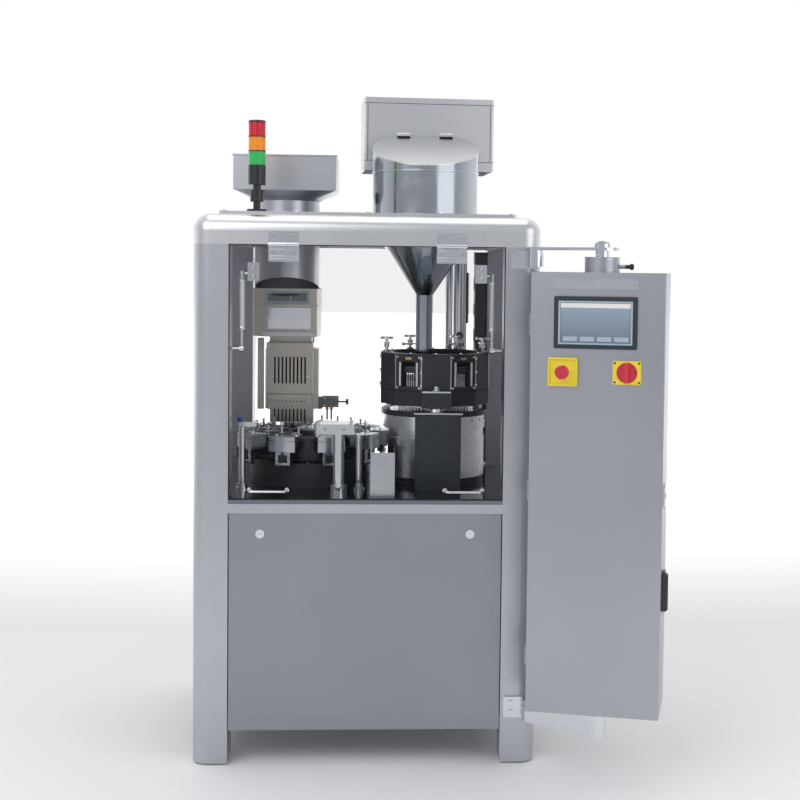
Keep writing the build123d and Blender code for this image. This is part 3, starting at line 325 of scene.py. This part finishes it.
def add_box(bm, x, y, z, turn=0.0, pivot=(0, 0)):
    """A box by its limits in millimetres, turned in plan about a pivot."""
    spin = Matrix.Rotation(turn, 3, "Z")
    about = Vector((*pivot, 0))
    corners = [about + spin @ (Vector((a, b, c)) - about) for a in x for b in y for c in z]
    verts = [bm.verts.new(at(*c)) for c in corners]
    for loop in ((0, 1, 3, 2), (4, 6, 7, 5), (0, 4, 5, 1), (2, 3, 7, 6), (0, 2, 6, 4), (1, 5, 7, 3)):
        bm.faces.new([verts[i] for i in loop])


def add_lathe(bm, start, axis, profile, sides=32):
    """A turned shape: (distance along the axis, radius) pairs from a start point."""
    axis = Vector(axis).normalized()
    side = axis.orthogonal().normalized()
    other = axis.cross(side)
    rings = []
    for along, radius in profile:
        middle = Vector(start) + axis * along
        ring = []
        for i in range(sides):
            a = 2 * pi * i / sides
            ring.append(bm.verts.new(at(*(middle + (side * cos(a) + other * sin(a)) * radius))))
        rings.append(ring)
    for one, two in zip(rings, rings[1:]):
        for i in range(sides):
            j = (i + 1) % sides
            bm.faces.new((one[i], one[j], two[j], two[i]))
    bm.faces.new(rings[0])
    bm.faces.new(rings[-1])


def add_screw(bm, start, axis, radius, height, socket=True):
    """A domed screw head with a socket in it."""
    profile = [(0, radius), (height * 0.6, radius), (height, radius * 0.78)]
    if socket:
        profile += [(height, radius * 0.45), (height * 0.35, radius * 0.42)]
    add_lathe(bm, start, axis, profile, 20)


# ---------------------------------------------------------------- frame and panels

UP, FORWARD, BACK = (0, 0, 1), (0, -1, 0), (0, 1, 0)
FRONT_Y, REAR_Y, SIDE_X = -430, 428, 508
TABLE_TOP, TOP_PLATE = 791, 1638
OPEN_X, OPEN_Z = 404, (TABLE_TOP, 1540)
PANE_X, PANE_Y = 506, 426
HOOD_HIGH, HOOD_OUT = 9, 1.8


def add_frame_of_bars(bm, x, y, z, bar):
    """Four bars round a rectangle in the x-z plane."""
    add_box(bm, (x[0], x[0] + bar), y, z)
    add_box(bm, (x[1] - bar, x[1]), y, z)
    add_box(bm, (x[0] + bar, x[1] - bar), y, (z[0], z[0] + bar))
    add_box(bm, (x[0] + bar, x[1] - bar), y, (z[1] - bar, z[1]))


def louvres(name, body, material, rows, face):
    """Two columns of hooded air slots: `face` adds one hood at a side and a height."""
    def make(bm):
        for row in rows:
            for across in (-1, 1):
                face(bm, across, row)
    return piece(name, body, material, make, 1.0)


def frame_details():
    groove = (FRONT_Y + 2, FRONT_Y + 9)
    piece("window_seal", "frame", RUBBER,
          lambda bm: add_frame_of_bars(bm, (-OPEN_X, OPEN_X), groove, (OPEN_Z[0] + 0.2, OPEN_Z[1]), 2.8))

    def duct(bm):
        add_box(bm, (362, 403), (330, 408), (800, 1532))
        for z in range(860, 1500, 90):
            add_box(bm, (359.5, 362), (345, 393), (z, z + 44))
    piece("cable_duct", "frame", DUCT, duct, 1.5)

    def rear_hood(bm, across, z):
        add_box(bm, (across * 190 - 130, across * 190 + 130), (REAR_Y, REAR_Y + HOOD_OUT), (z, z + HOOD_HIGH))
    louvres("rear_louvres", "frame", PANEL, range(180, 420, 26), rear_hood)
    louvres("rear_upper_louvres", "frame", PANEL, range(560, 700, 26), rear_hood)

    def side_hood(bm, across, z):
        x = sorted((across * SIDE_X, across * (SIDE_X + HOOD_OUT)))
        add_box(bm, x, (-120, 120), (z, z + HOOD_HIGH))
    louvres("side_louvres", "frame", PANEL, range(180, 340, 26), side_hood)

    def plate_screws(bm):
        for x in (-425, -215, 0, 215, 425):
            for y in (-355, 355):
                add_screw(bm, (x, y, TOP_PLATE), UP, 7, 4)
        for x in (-425, 425):
            for y in (-150, 150):
                add_screw(bm, (x, y, TOP_PLATE), UP, 7, 4)
    piece("top_plate_screws", "frame", MIRROR, plate_screws)

    def pane_screws(bm):
        for side in (-1, 1):
            for z in (830, 1165, 1500):
                for y in (-300, 300):
                    add_screw(bm, (side * PANE_X, y, z), (side, 0, 0), 5, 3)
        for x in (-392, 392):
            for z in (830, 1500):
                add_screw(bm, (x, PANE_Y, z), BACK, 5, 3)
    piece("pane_screws", "frame", MIRROR, pane_screws)

    def catches(bm):
        for x in (-60, 60):
            add_lathe(bm, (x, REAR_Y, 600), BACK, [(-2, 7), (1.6, 7)], 20)
    piece("rear_panel_catches", "frame", MIRROR, catches)


frame_details()

# ---------------------------------------------------------------- window fittings

HINGE_X, LEAF_W, LEAF_SCREW = 245, 88, 30
LEAF_Y, FIXED_LEAF_Y, GLASS_Y = -432, -433, -428
STRUT_X, STRUT_Y, SLEEVE_Z = 369, -395, (1289, 1430)
STRUT_BLOCK_X = 333
PULL_X, PULL_HALF, PULL_Z = 287, 55, 821


def window_details():
    def ridges(bm):
        for side in (-1, 1):
            for z in (1497, 1505, 1524):
                x = side * HINGE_X
                add_box(bm, (x - LEAF_W / 2 + 2, x + LEAF_W / 2 - 2), (LEAF_Y - 1.4, LEAF_Y), (z, z + 3.2))
    piece("hinge_ridges", "window", MIRROR, ridges, 1.2)

    def screws(bm):
        for side in (-1, 1):
            for dx in (-LEAF_SCREW, LEAF_SCREW):
                add_screw(bm, (side * HINGE_X + dx, LEAF_Y, 1515), FORWARD, 4.5, 2.6)
    piece("hinge_screws", "window", CAST_STEEL, screws)

    def frame_screws(bm):
        for side in (-1, 1):
            for dx in (-LEAF_SCREW, LEAF_SCREW):
                add_screw(bm, (side * HINGE_X + dx, FIXED_LEAF_Y, 1566), FORWARD, 4.5, 2.6)
    piece("fixed_leaf_screws", "frame", CAST_STEEL, frame_screws)

    def block_screws(bm):
        for side in (-1, 1):
            for z in (1447, 1473):
                add_screw(bm, (side * STRUT_BLOCK_X, GLASS_Y, z), FORWARD, 5, 2.6)
    piece("strut_block_screws", "window", MIRROR, block_screws)

    def collars(bm):
        for side in (-1, 1):
            start = (side * STRUT_X, STRUT_Y, SLEEVE_Z[0])
            add_lathe(bm, start, UP, [(-1, 6), (0, 9.6), (8, 10.2), (10, 9.2)], 28)
            top = (side * STRUT_X, STRUT_Y, SLEEVE_Z[1])
            add_lathe(bm, top, UP, [(0, 9.2), (3, 10.2), (9, 9.6), (11, 6.5)], 28)
    piece("strut_collars", "strut_tube", MIRROR, collars)

    def pull_feet(bm):
        for side in (-1, 1):
            for end in (-PULL_HALF, PULL_HALF):
                start = (side * PULL_X + end, GLASS_Y - 0.2, PULL_Z)
                add_lathe(bm, start, FORWARD, [(0, 7), (1.6, 6.6), (2.4, 4)], 24)
    piece("pull_roses", "window", MIRROR, pull_feet)


window_details()

# ---------------------------------------------------------------- turret

TURRET = (-186, 0)
STATIONS = 10
DRUM_TOP, SEGMENT_TOP = 939, 953
BRACKET_R = (234, 240)
BASE_RING_R, BASE_RING_TOP = 195, 865


def around(centre, turn, radius, sideways, z):
    """A point at an angle and a radius from an upright axis."""
    x = centre[0] + radius * cos(turn) - sideways * sin(turn)
    y = centre[1] + radius * sin(turn) + sideways * cos(turn)
    return (x, y, z)


def turret_details():
    def each(make):
        def build(bm):
            for k in range(STATIONS):
                make(bm, radians(360 * k / STATIONS))
        return build

    def brackets(bm, turn):
        x = (TURRET[0] + BRACKET_R[0], TURRET[0] + BRACKET_R[1])
        for y in ((-24, -15), (15, 24)):
            add_box(bm, x, y, (864, 906), turn, TURRET)
        add_box(bm, x, (-15, 15), (864, 872), turn, TURRET)
        add_box(bm, x, (-15, 15), (896, 906), turn, TURRET)
        add_box(bm, (x[0] + 6, x[1] + 5), (-10, 10), (866, 870), turn, TURRET)
    piece("segment_brackets", "turret", CAST_STEEL, each(brackets), 1.0)

    def bolts(bm, turn):
        outward = (cos(turn), sin(turn), 0)
        for sideways in (-33, 33):
            add_screw(bm, around(TURRET, turn, 206, sideways, SEGMENT_TOP), UP, 4.2, 3.4)
            add_screw(bm, around(TURRET, turn, 240.5, sideways * 0.58, 886), outward, 3.6, 3)
    piece("segment_bolts", "turret", MIRROR, each(bolts))

    def blue_caps(bm, turn):
        outward = (cos(turn), sin(turn), 0)
        add_lathe(bm, around(TURRET, turn, 242, 0, 901), outward, [(-3, 4.4), (3, 4.4), (5, 3)], 20)
    piece("station_caps", "turret", BLUE, each(blue_caps))

    def guide_pins(bm, turn):
        for sideways in (-28, 28):
            profile = [(0, 5), (8, 5), (8.5, 3.4), (34, 3.4), (34.5, 4.4), (38, 4.4)]
            add_lathe(bm, around(TURRET, turn, 176, sideways, DRUM_TOP), UP, profile, 18)
    piece("segment_guide_pins", "turret", MIRROR, each(guide_pins))

    def links(bm, turn):
        middle, top = TURRET[0], DRUM_TOP + 9
        add_box(bm, (middle + 104, middle + 188), (-13, 13), (DRUM_TOP + 0.5, top), turn, TURRET)
        add_box(bm, (middle + 118, middle + 168), (-5, 5), (top, top + 7), turn, TURRET)
    piece("segment_links", "turret", CAST_STEEL, each(links), 1.2)

    def seams(bm, turn):
        out = (TURRET[0] + 191, TURRET[0] + 248.6)
        add_box(bm, out, (-41.5, 41.5), (DRUM_TOP + 0.4, DRUM_TOP + 1.6), turn, TURRET)
    piece("segment_seams", "turret", SHADE_AND_SEAM_BLACK, each(seams))

    def hub(bm):
        profile = [(0, 44), (3, 44), (5, 40), (5, 20), (14, 19), (18, 13), (18.5, 2)]
        add_lathe(bm, (*TURRET, SEGMENT_TOP), UP, profile, 40)
        for k in range(8):
            add_screw(bm, around(TURRET, 2 * pi * k / 8, 33, 0, SEGMENT_TOP + 4.5), UP, 3.6, 3)
    piece("hub_cap", "turret", MIRROR, hub)

    def base_lines(bm):
        inner, outer = BASE_RING_R + 0.1, BASE_RING_R + 1.2
        for z in (812, 848):
            add_lathe(bm, (*TURRET, z), UP, [(0, inner), (0.4, outer), (2.6, outer), (3, inner)], 96)
    piece("base_ring_bands", "frame", SLATE, base_lines)

    def base_bolts(bm):
        for k in range(16):
            turn = 2 * pi * k / 16
            add_screw(bm, around(TURRET, turn, 186, 0, BASE_RING_TOP), UP, 4, 3)
    piece("base_ring_bolts", "frame", MIRROR, base_bolts)


turret_details()

# ---------------------------------------------------------------- dosing unit

DOSER = (212, 0)
APOTHEM = 173
HEAD_TOP = 1206
FACE_HALF = 46
PIN_R, KNOB_R = 152, 155
GUIDE_Y, LUG_TOP = 206, 1090
COVER_Y = -240


def head_details():
    windows = [radians(60 * k) for k in range(6)]
    corners = [radians(15 + 30 * k) for k in range(12)]
    faces = [radians(30 * k) for k in range(12)]
    corner_r = APOTHEM / cos(radians(15))

    def box_on(bm, turn, out, sideways, z):
        add_box(bm, (DOSER[0] + out[0], DOSER[0] + out[1]), sideways, z, turn, DOSER)

    def tags(bm):
        for turn in windows:
            box_on(bm, turn, (APOTHEM, APOTHEM + 1), (-11, 11), (1189, 1196))
    piece("brass_tags", "tamping_head", BRASS, tags, 0.3)

    def scales(bm):
        for turn in windows:
            for side in (-1, 1):
                inner, outer = sorted((side * 27, side * 33))
                box_on(bm, turn, (APOTHEM, APOTHEM + 0.8), (inner, outer), (1106, 1180))
    piece("depth_scales", "tamping_head", WHITE, scales)

    def marks(bm):
        for turn in windows:
            for side in (-1, 1):
                inner, outer = sorted((side * 28, side * 31))
                for z in range(1110, 1178, 5):
                    box_on(bm, turn, (APOTHEM + 0.8, APOTHEM + 1.1), (inner, outer), (z, z + 1.2))
    piece("scale_marks", "tamping_head", BLACK, marks)

    def screws(bm):
        for turn in windows:
            outward = (cos(turn), sin(turn), 0)
            for sideways in (-39, 39):
                for z in (1100, 1196):
                    add_screw(bm, around(DOSER, turn, APOTHEM, sideways, z), outward, 4, 3)
        for turn in faces:
            add_screw(bm, around(DOSER, turn, 158, 0, HEAD_TOP), UP, 4.5, 4)
    piece("head_screws", "tamping_head", MIRROR, screws)

    def strips(bm):
        for turn in corners:
            box_on(bm, turn, (corner_r - 4, corner_r + 0.8), (-2.2, 2.2), (1096, 1202))
    piece("corner_strips", "tamping_head", CAST_STEEL, strips, 0.6)

    def corner_bolts(bm):
        for turn in corners[::2]:
            outward = (cos(turn), sin(turn), 0)
            for z in (1108, 1150, 1192):
                add_screw(bm, around(DOSER, turn, corner_r + 0.8, 0, z), outward, 4.6, 4)
    piece("corner_bolts", "tamping_head", MIRROR, corner_bolts)

    def band(bm):
        for turn in faces:
            box_on(bm, turn, (APOTHEM - 1, APOTHEM + 0.9), (-FACE_HALF, FACE_HALF), (1089, 1091.5))
    piece("head_band", "tamping_head", SHADE_AND_SEAM_BLACK, band)

    def pins(bm):
        for turn in windows:
            for step in (-16, -8, 0, 8, 16):
                profile = [(0, 3.2), (18, 3.2), (18.5, 2), (34, 2), (34.4, 3), (40, 3)]
                add_lathe(bm, around(DOSER, turn, PIN_R, step, 1102.2), UP, profile, 14)
    piece("pin_rows", "tamping_head", CAST_STEEL, pins)

    def holder(bm):
        for turn in windows:
            box_on(bm, turn, (143, 161), (-23, 23), (1146, 1164))
    piece("pin_holders", "tamping_head", BLACK_METAL, holder, 1.0)

    def lug_plates(bm):
        for side in (-1, 1):
            y = sorted((side * 178, side * 230))
            add_box(bm, (DOSER[0] - 44, DOSER[0] + 44), y, (LUG_TOP + 0.2, LUG_TOP + 6))
            nut = [(0, 13), (4, 13), (5, 8), (13, 8), (15, 5)]
            add_lathe(bm, (DOSER[0], side * GUIDE_Y, LUG_TOP + 6), UP, nut, 28)
    piece("lug_plates", "tamping_head", MIRROR, lug_plates, 1.0)

    def knob_nuts(bm):
        for turn in windows[:4]:
            spot = around(DOSER, turn, KNOB_R, 0, 1232)
            add_lathe(bm, spot, UP, [(0, 8), (0.5, 13), (5, 13), (5.5, 8)], 6)
            for side in (-1, 1):
                tip = around(DOSER, turn, KNOB_R, side * 10, 1223)
                sideways = (-sin(turn) * side, cos(turn) * side, 0)
                add_lathe(bm, tip, sideways, [(0, 3), (12, 3), (13, 5.5), (19, 5.5), (21, 4)], 16)
    piece("knob_nuts", "tamping_head", MIRROR, knob_nuts)


def drum_details():
    def bolts(bm):
        for k in range(24):
            turn = 2 * pi * k / 24
            if abs(k - 12) < 3 or abs(k - 18) < 3:
                continue
            add_screw(bm, around(DOSER, turn, 164.6, 0, 995), (cos(turn), sin(turn), 0), 3.4, 2.6)
    piece("drum_screws", "frame", CAST_STEEL, bolts)

    def collars(bm):
        for side in (-1, 1):
            start = (DOSER[0], side * GUIDE_Y, 1030.5 if side < 0 else TABLE_TOP + 0.5)
            add_lathe(bm, start, UP, [(0, 30), (4, 30), (5, 24), (10, 23), (11, 19)], 36)
    piece("guide_collars", "frame", MIRROR, collars)

    def lip(bm):
        add_box(bm, (142.4, 292.6), (COVER_Y - 4.8, COVER_Y - 3.6), (1025.6, 1030.4))
    piece("cover_lip", "frame", CAST_STEEL, lip, 0.3)

    def cover_screws(bm):
        for x in (155, 280):
            for z in (806, 1012):
                add_screw(bm, (x, COVER_Y, z), FORWARD, 3.6, 2.4)
    piece("cover_screws", "frame", SLATE, cover_screws)


head_details()
drum_details()

# ---------------------------------------------------------------- capsule side

MAGAZINE_X, MAG_Y = -264, 146
SLOTS, PITCH = 9, 12.5
CAPS = (-276, 165)
CHUTE_Y = 85
BLOW_Y, HOSE_Y, HOSE_X = 158, 174, (-141, -127)
CUT_TILT = radians(19.4)


def capsule_details():
    columns = [MAGAZINE_X + PITCH * (k - (SLOTS - 1) / 2) for k in range(SLOTS)]

    # painted shade: near-black boxes and short stubs fill the magazine's slot and hole openings where shade
    # falls
    def slots(bm):
        for x in columns:
            add_box(bm, (x - 2.7, x + 2.7), (MAG_Y + 4, MAG_Y + 9.8), (1086, 1174))
            add_box(bm, (x - 2.4, x + 2.4), (MAG_Y + 3, MAG_Y + 11.8), (958, 1000))
            add_lathe(bm, (x, MAG_Y - 3, 1027), BACK, [(0, 2.3), (8, 2.3)], 16)
    piece("magazine_slot_shade", "magazine", SHADE_AND_SEAM_BLACK, slots)

    def screws(bm):
        for x in (-322, -203):
            add_screw(bm, (x, MAG_Y, 1110), FORWARD, 5, 3)
        for x in (-330, -198):
            for z in (1010, 1042):
                add_screw(bm, (x, MAG_Y - 6, z), FORWARD, 3, 2.2)
        for x in (-334, -194):
            add_screw(bm, (x, MAG_Y - 4, 1212), FORWARD, 3.4, 2.4)
    piece("magazine_screws", "magazine", MIRROR, screws)

    def side_rails(bm):
        for x in (-345.6, -189):
            add_box(bm, (x, x + 4), (MAG_Y - 3, MAG_Y - 0.2), (1056, 1200))
    piece("magazine_rails", "magazine", MIRROR, side_rails, 0.8)

    def guard(bm):
        add_box(bm, (-372, -350), (150, 156), (1000, 1238))
    piece("side_guard", "frame", CREAM, guard, 1.0)

    def chute_plate(bm):
        add_box(bm, (-342, -198), (CHUTE_Y - 3, CHUTE_Y), (1354, 1396))
    piece("chute_plate", "frame", INNER_BEZEL, chute_plate, 1.0)

    def chute_slot(bm):
        add_box(bm, (-333, -262), (CHUTE_Y - 4.2, CHUTE_Y - 3), (1362, 1388))
        add_box(bm, (-256, -206), (CHUTE_Y - 4.2, CHUTE_Y - 3), (1362, 1388))
    piece("chute_slot", "frame", MODULE, chute_slot, 0.5)

    def flange(bm):
        add_box(bm, (-356, -168), (CHUTE_Y - 11, CHUTE_Y), (1346, 1350))
        add_box(bm, (-352, -172), (CHUTE_Y - 7, CHUTE_Y), (1246, 1262))
    piece("chute_flange", "frame", CAST_STEEL, flange, 0.8)

    def front_panel(bm):
        add_box(bm, (-334, -192), (CHUTE_Y - 2.6, CHUTE_Y), (1270, 1342))
    piece("chute_front", "frame", MIRROR, front_panel, 1.0)

    def gate(bm):
        outward = (0, -sin(CUT_TILT), cos(CUT_TILT))
        add_lathe(bm, (*CAPS, 1412), outward, [(0, 99), (3, 99)], 64)
    piece("feed_gate", "frame", BLACK_METAL, gate)

    def rim(bm):
        x, y = (CAPS[0] - 168, CAPS[0] + 168), (CAPS[1] - 148.5, CAPS[1] + 148.5)
        for side in (0, 1):
            edge = (x[0], x[0] + 6) if side == 0 else (x[1] - 6, x[1])
            add_box(bm, edge, y, (1829, 1835.5))
            edge = (y[0], y[0] + 6) if side == 0 else (y[1] - 6, y[1])
            add_box(bm, (x[0] + 6, x[1] - 6), edge, (1829, 1835.5))
    piece("bin_rim", "frame", CAST_STEEL, rim, 1.0)

    def fittings(bm):
        for x in HOSE_X:
            add_lathe(bm, (x, HOSE_Y, 996), UP, [(0, 4.8), (4, 5.4), (9, 5.4), (10, 4.6)], 20)
    piece("hose_fittings", "magazine", COPPER, fittings)

    def knob(bm):
        profile = [(0, 5), (1, 10), (7, 10.5), (9, 9), (9.5, 4)]
        add_lathe(bm, (-79, HOSE_Y, 1024), (1, 0, 0), profile, 28)
    piece("blow_knob", "magazine", BLACK, knob)

    def blow_screws(bm):
        for x in (-149, -111):
            for z in (1012, 1037):
                add_screw(bm, (x, BLOW_Y, z), FORWARD, 3, 2.2)
    piece("blow_screws", "magazine", MIRROR, blow_screws)


capsule_details()

# ---------------------------------------------------------------- posts, hoppers, signal tower

# each post on the table: its place and its radius under the collar
POSTS = ((-26, -235, 14), (-385, -212, 15), (-330, 305, 16), (-200, 305, 16),
         (302, 215, 34), (276, 265, 31))
POWDER = (176, -20)
SIGNAL = (-335, -300)
FEEDER, FEEDER_HALF = (184, 288), (216, 120)
FEEDER_TURN = radians(4)
# how far a seam stands out of its sheet
PROUD = 0.8


def post_details():
    def feet(bm):
        for x, y, r in POSTS:
            collar = [(0, r + 4), (6, r + 4), (8, r), (16, r), (18, r - 3)]
            add_lathe(bm, (x, y, TABLE_TOP + 0.2), UP, collar, 36)
    piece("post_collars", "frame", MIRROR, feet)

    def plate_screws(bm):
        for x in (-148, -50):
            for y in (-312, -236):
                add_screw(bm, (x, y, 1003), UP, 5, 4)
        for x in (-126, -70):
            add_screw(bm, (x, -322, 988), FORWARD, 4, 3)
    piece("closing_plate_screws", "frame", CAST_STEEL, plate_screws)

    def cap(bm):
        add_lathe(bm, (-392, -212, 998), UP, [(0, 6), (1, 8.5), (11, 8.5), (13, 7)], 24)
    piece("spring_cap", "frame", BLUE, cap)

    def rack(bm):
        add_box(bm, (326, 331), (208, 222), (1290, 1462))
        for z in range(1294, 1460, 8):
            add_box(bm, (331, 335), (208, 222), (z, z + 4))
    piece("height_rack", "frame", BLACK_METAL, rack, 0.5)

    def clamp(bm):
        lever = [(0, 12), (14, 12), (16, 8), (26, 6), (60, 5), (66, 8), (74, 7)]
        add_lathe(bm, (302, 190, 1250), FORWARD, lever, 24)
    piece("clamp_lever", "frame", BLACK, clamp)

    def rings(bm):
        for z in (1640, 1776):
            add_lathe(bm, (*POWDER, z), UP, [(0, 168), (1, 170), (5, 170), (6, 168)], 96)
    piece("hopper_bands", "frame", CAST_STEEL, rings)

    def box_seams(bm):
        x, y = FEEDER
        wide = FEEDER_HALF[0] + PROUD
        face = (y - FEEDER_HALF[1] - PROUD, y - FEEDER_HALF[1] + PROUD / 2)
        for z in (1830, 2020):
            add_box(bm, (x - wide, x + wide), face, (z, z + 2), FEEDER_TURN, FEEDER)
        for side in (-205, 205):
            add_box(bm, (x + side - 1, x + side + 1), face, (1832, 2020), FEEDER_TURN, FEEDER)
    piece("feeder_box_seams", "frame", DUCT, box_seams)

    for made, slot_name, lows in ((LENS_GREEN, "green_lens", 1777), (LENS_AMBER, "amber_lens", 1820),
                                  (LENS_RED, "red_lens", 1863)):
        def ribs(bm, start=lows):
            for k in range(5):
                profile = [(0, 25.05), (0.8, 25.9), (2.4, 25.9), (3.2, 25.05)]
                add_lathe(bm, (*SIGNAL, start + 2 + 8 * k), UP, profile, 48)
        piece(slot_name + "_ribs", "frame", made, ribs)


post_details()

# ---------------------------------------------------------------- control cabinet

PIVOT = (672, -540)
CAB_TURN = radians(-14.5)
STOP, SWITCH = (-94.5, 1190), (85, 1191)
PLATE_Y, SHROUD_Y, SCREEN_Y = -112, -120, -114.5


def add_cab_box(bm, x, y, z):
    """A box in the cabinet's own axes, from its pivot."""
    across = (PIVOT[0] + x[0], PIVOT[0] + x[1])
    back = (PIVOT[1] + y[0], PIVOT[1] + y[1])
    add_box(bm, across, back, z, CAB_TURN, PIVOT)


def cab_spot(x, y, z):
    """A point in the cabinet's own axes, as a point of the machine's frame."""
    across = x * cos(CAB_TURN) - y * sin(CAB_TURN)
    back = x * sin(CAB_TURN) + y * cos(CAB_TURN)
    return (PIVOT[0] + across, PIVOT[1] + back, z)


CAB_FORWARD = (sin(CAB_TURN), -cos(CAB_TURN), 0)
CAB_RIGHT = (cos(CAB_TURN), sin(CAB_TURN), 0)


def cabinet_details():
    def inner_bezel(bm):
        for x, z in (((-109, -104), (1268, 1390)), ((94, 99), (1268, 1390)),
                     ((-104, 94), (1268, 1272.5)), ((-104, 94), (1385.5, 1390))):
            add_cab_box(bm, x, (-117.2, -115.8), z)
    piece("screen_border", "cabinet_door", INNER_BEZEL, inner_bezel, 0.4)

    def header(bm):
        add_cab_box(bm, (-103, 93), (SCREEN_Y - 0.4, SCREEN_Y), (1371, 1385))
    piece("screen_header", "cabinet_door", WHITE, header)

    def keys(bm):
        for k in range(4):
            add_cab_box(bm, (-96 + 48 * k, -56 + 48 * k), (SCREEN_Y - 0.4, SCREEN_Y), (1277, 1290))
    piece("screen_keys", "cabinet_door", INNER_BEZEL, keys)

    def plate_screws(bm):
        for x in (-124, 108):
            add_screw(bm, cab_spot(x, -110, 1438), CAB_FORWARD, 4, 2.4)
    piece("name_plate_screws", "cabinet_door", CAST_STEEL, plate_screws)

    def stop_collar(bm):
        start = cab_spot(STOP[0], SHROUD_Y, STOP[1])
        add_lathe(bm, start, CAB_FORWARD, [(0, 24), (2, 24), (4, 20), (8, 19)], 40)
    piece("stop_collar", "cabinet_door", YELLOW, stop_collar)

    def shroud(bm):
        for x in ((-135.5, -131), (-58, -53.5)):
            add_cab_box(bm, x, (SHROUD_Y - 6, SHROUD_Y), (1152, 1228))
        for z in ((1150.5, 1155), (1225, 1229.5)):
            add_cab_box(bm, (-135.5, -53.5), (SHROUD_Y - 6, SHROUD_Y), z)
    piece("stop_shroud", "cabinet_door", YELLOW, shroud, 1.4)

    def switch_dial(bm):
        add_lathe(bm, cab_spot(SWITCH[0], PLATE_Y, SWITCH[1]), CAB_FORWARD, [(0, 29), (0.8, 29)], 48)
    piece("switch_dial", "cabinet_door", RED, switch_dial)

    def switch_screws(bm):
        for x in (51, 119):
            for z in (1164, 1218):
                add_screw(bm, cab_spot(x, PLATE_Y, z), CAB_FORWARD, 3, 2)
    piece("switch_screws", "cabinet_door", BLACK, switch_screws)

    def seal(bm):
        add_cab_box(bm, (188.6, 189.7), (-49.9, -49.1), (216, 1466))
        add_cab_box(bm, (-189.7, -188.6), (-49.9, -49.1), (216, 1466))
    piece("door_seal", "cabinet_door", RUBBER, seal)

    def latch_rose(bm):
        add_lathe(bm, cab_spot(196.6, -72, 845), CAB_RIGHT, [(0, 9), (2, 8.4), (2.2, 6), (0.8, 5.6)], 28)
    piece("latch_rose", "door_lock", CAST_STEEL, latch_rose)

    # painted shade: near-black strips stand in for the shade inside the cabinet's vent openings
    def vents(bm):
        for top in (1330, 300):
            for k in range(9):
                z = top + 9 * k
                add_cab_box(bm, (-90, 90), (108, 109.6), (z, z + 4))
    piece("cabinet_vent_shade", "cabinet", SHADE_AND_SEAM_BLACK, vents)

    def pivot_nut(bm):
        start = (PIVOT[0], PIVOT[1], 1552)
        add_lathe(bm, start, UP, [(0, 19), (5, 19), (5.4, 12.5), (6.5, 12.5)], 6)
    piece("pivot_nut", "arm", CAST_STEEL, pivot_nut)

    def boss_lines(bm):
        for z in (1476, 1506):
            add_lathe(bm, (*PIVOT, z), UP, [(0, 50.1), (0.6, 51), (2.6, 51), (3.2, 50.1)], 64)
    piece("pivot_bands", "cabinet", CAST_STEEL, boss_lines)

    def lock_lever(bm):
        profile = [(0, 6), (18, 6), (19, 9), (27, 9), (29, 7)]
        add_lathe(bm, (PIVOT[0] + 62, PIVOT[1], 1487), (1, 0, 0), profile, 24)
    piece("pivot_lock", "cabinet", BLACK, lock_lever)


cabinet_details()

# ---------------------------------------------------------------- stage


def make_stage():
    bpy.ops.mesh.primitive_plane_add(size=80, location=(0, 0, -0.0005))
    floor = bpy.context.object
    floor.name = "floor"
    paper = Shader("floor_paper", (0.86, 0.86, 0.86), 0.8)
    paper.bsdf.inputs["Emission Color"].default_value = (1, 1, 1, 1)
    # the floor brightens away behind the machine, so it meets the wall without a line
    place = paper.node("ShaderNodeNewGeometry")
    split_place = paper.node("ShaderNodeSeparateXYZ")
    fade = paper.node("ShaderNodeMapRange", From_Min=1.4, From_Max=6.0, To_Min=0.0, To_Max=0.9)
    paper.link(place, "Position", split_place, "Vector")
    paper.link(split_place, "Y", fade, "Value")
    paper.link(fade, "Result", paper.bsdf, "Emission Strength")
    floor.data.materials.append(paper.material)
    world = bpy.data.worlds.new("world")
    world.use_nodes = True
    tree = world.node_tree
    background = tree.nodes["Background"]
    background.inputs["Strength"].default_value = 1.0
    coords = tree.nodes.new("ShaderNodeTexCoord")
    split = tree.nodes.new("ShaderNodeSeparateXYZ")
    ramp = tree.nodes.new("ShaderNodeValToRGB")
    span = tree.nodes.new("ShaderNodeMapRange")
    span.inputs["From Min"].default_value = -1.0
    tree.links.new(coords.outputs["Generated"], split.inputs["Vector"])
    tree.links.new(split.outputs["Y"], span.inputs["Value"])
    tree.links.new(span.outputs["Result"], ramp.inputs["Fac"])
    tree.links.new(ramp.outputs["Color"], background.inputs["Color"])
    # a bright studio wall behind the machine, a dimmer room in front of it
    dim, bright = ramp.color_ramp.elements
    dim.color, bright.color = (0.46, 0.47, 0.50, 1), (1.0, 1.0, 1.0, 1)
    dim.position, bright.position = 0.25, 0.75
    bpy.context.scene.world = world
    bpy.context.scene.view_settings.view_transform = "Standard"
    lights = (
        ("key", (-1900, -3200, 3600), 3.0, 60),
        ("fill", (2600, -2600, 2400), 2.6, 22),
        ("top", (0, 0, 4200), 2.4, 20),
        ("back", (600, 3000, 2600), 2.4, 4),
    )
    for name, place, size, power in lights:
        data = bpy.data.lights.new(name, "AREA")
        data.size, data.energy = size, power
        light = bpy.data.objects.new(name, data)
        light.location = at(*place)
        aim = at(0, 0, 1000) - light.location
        light.rotation_euler = aim.to_track_quat("-Z", "Y").to_euler()
        bpy.context.scene.collection.objects.link(light)


make_stage()
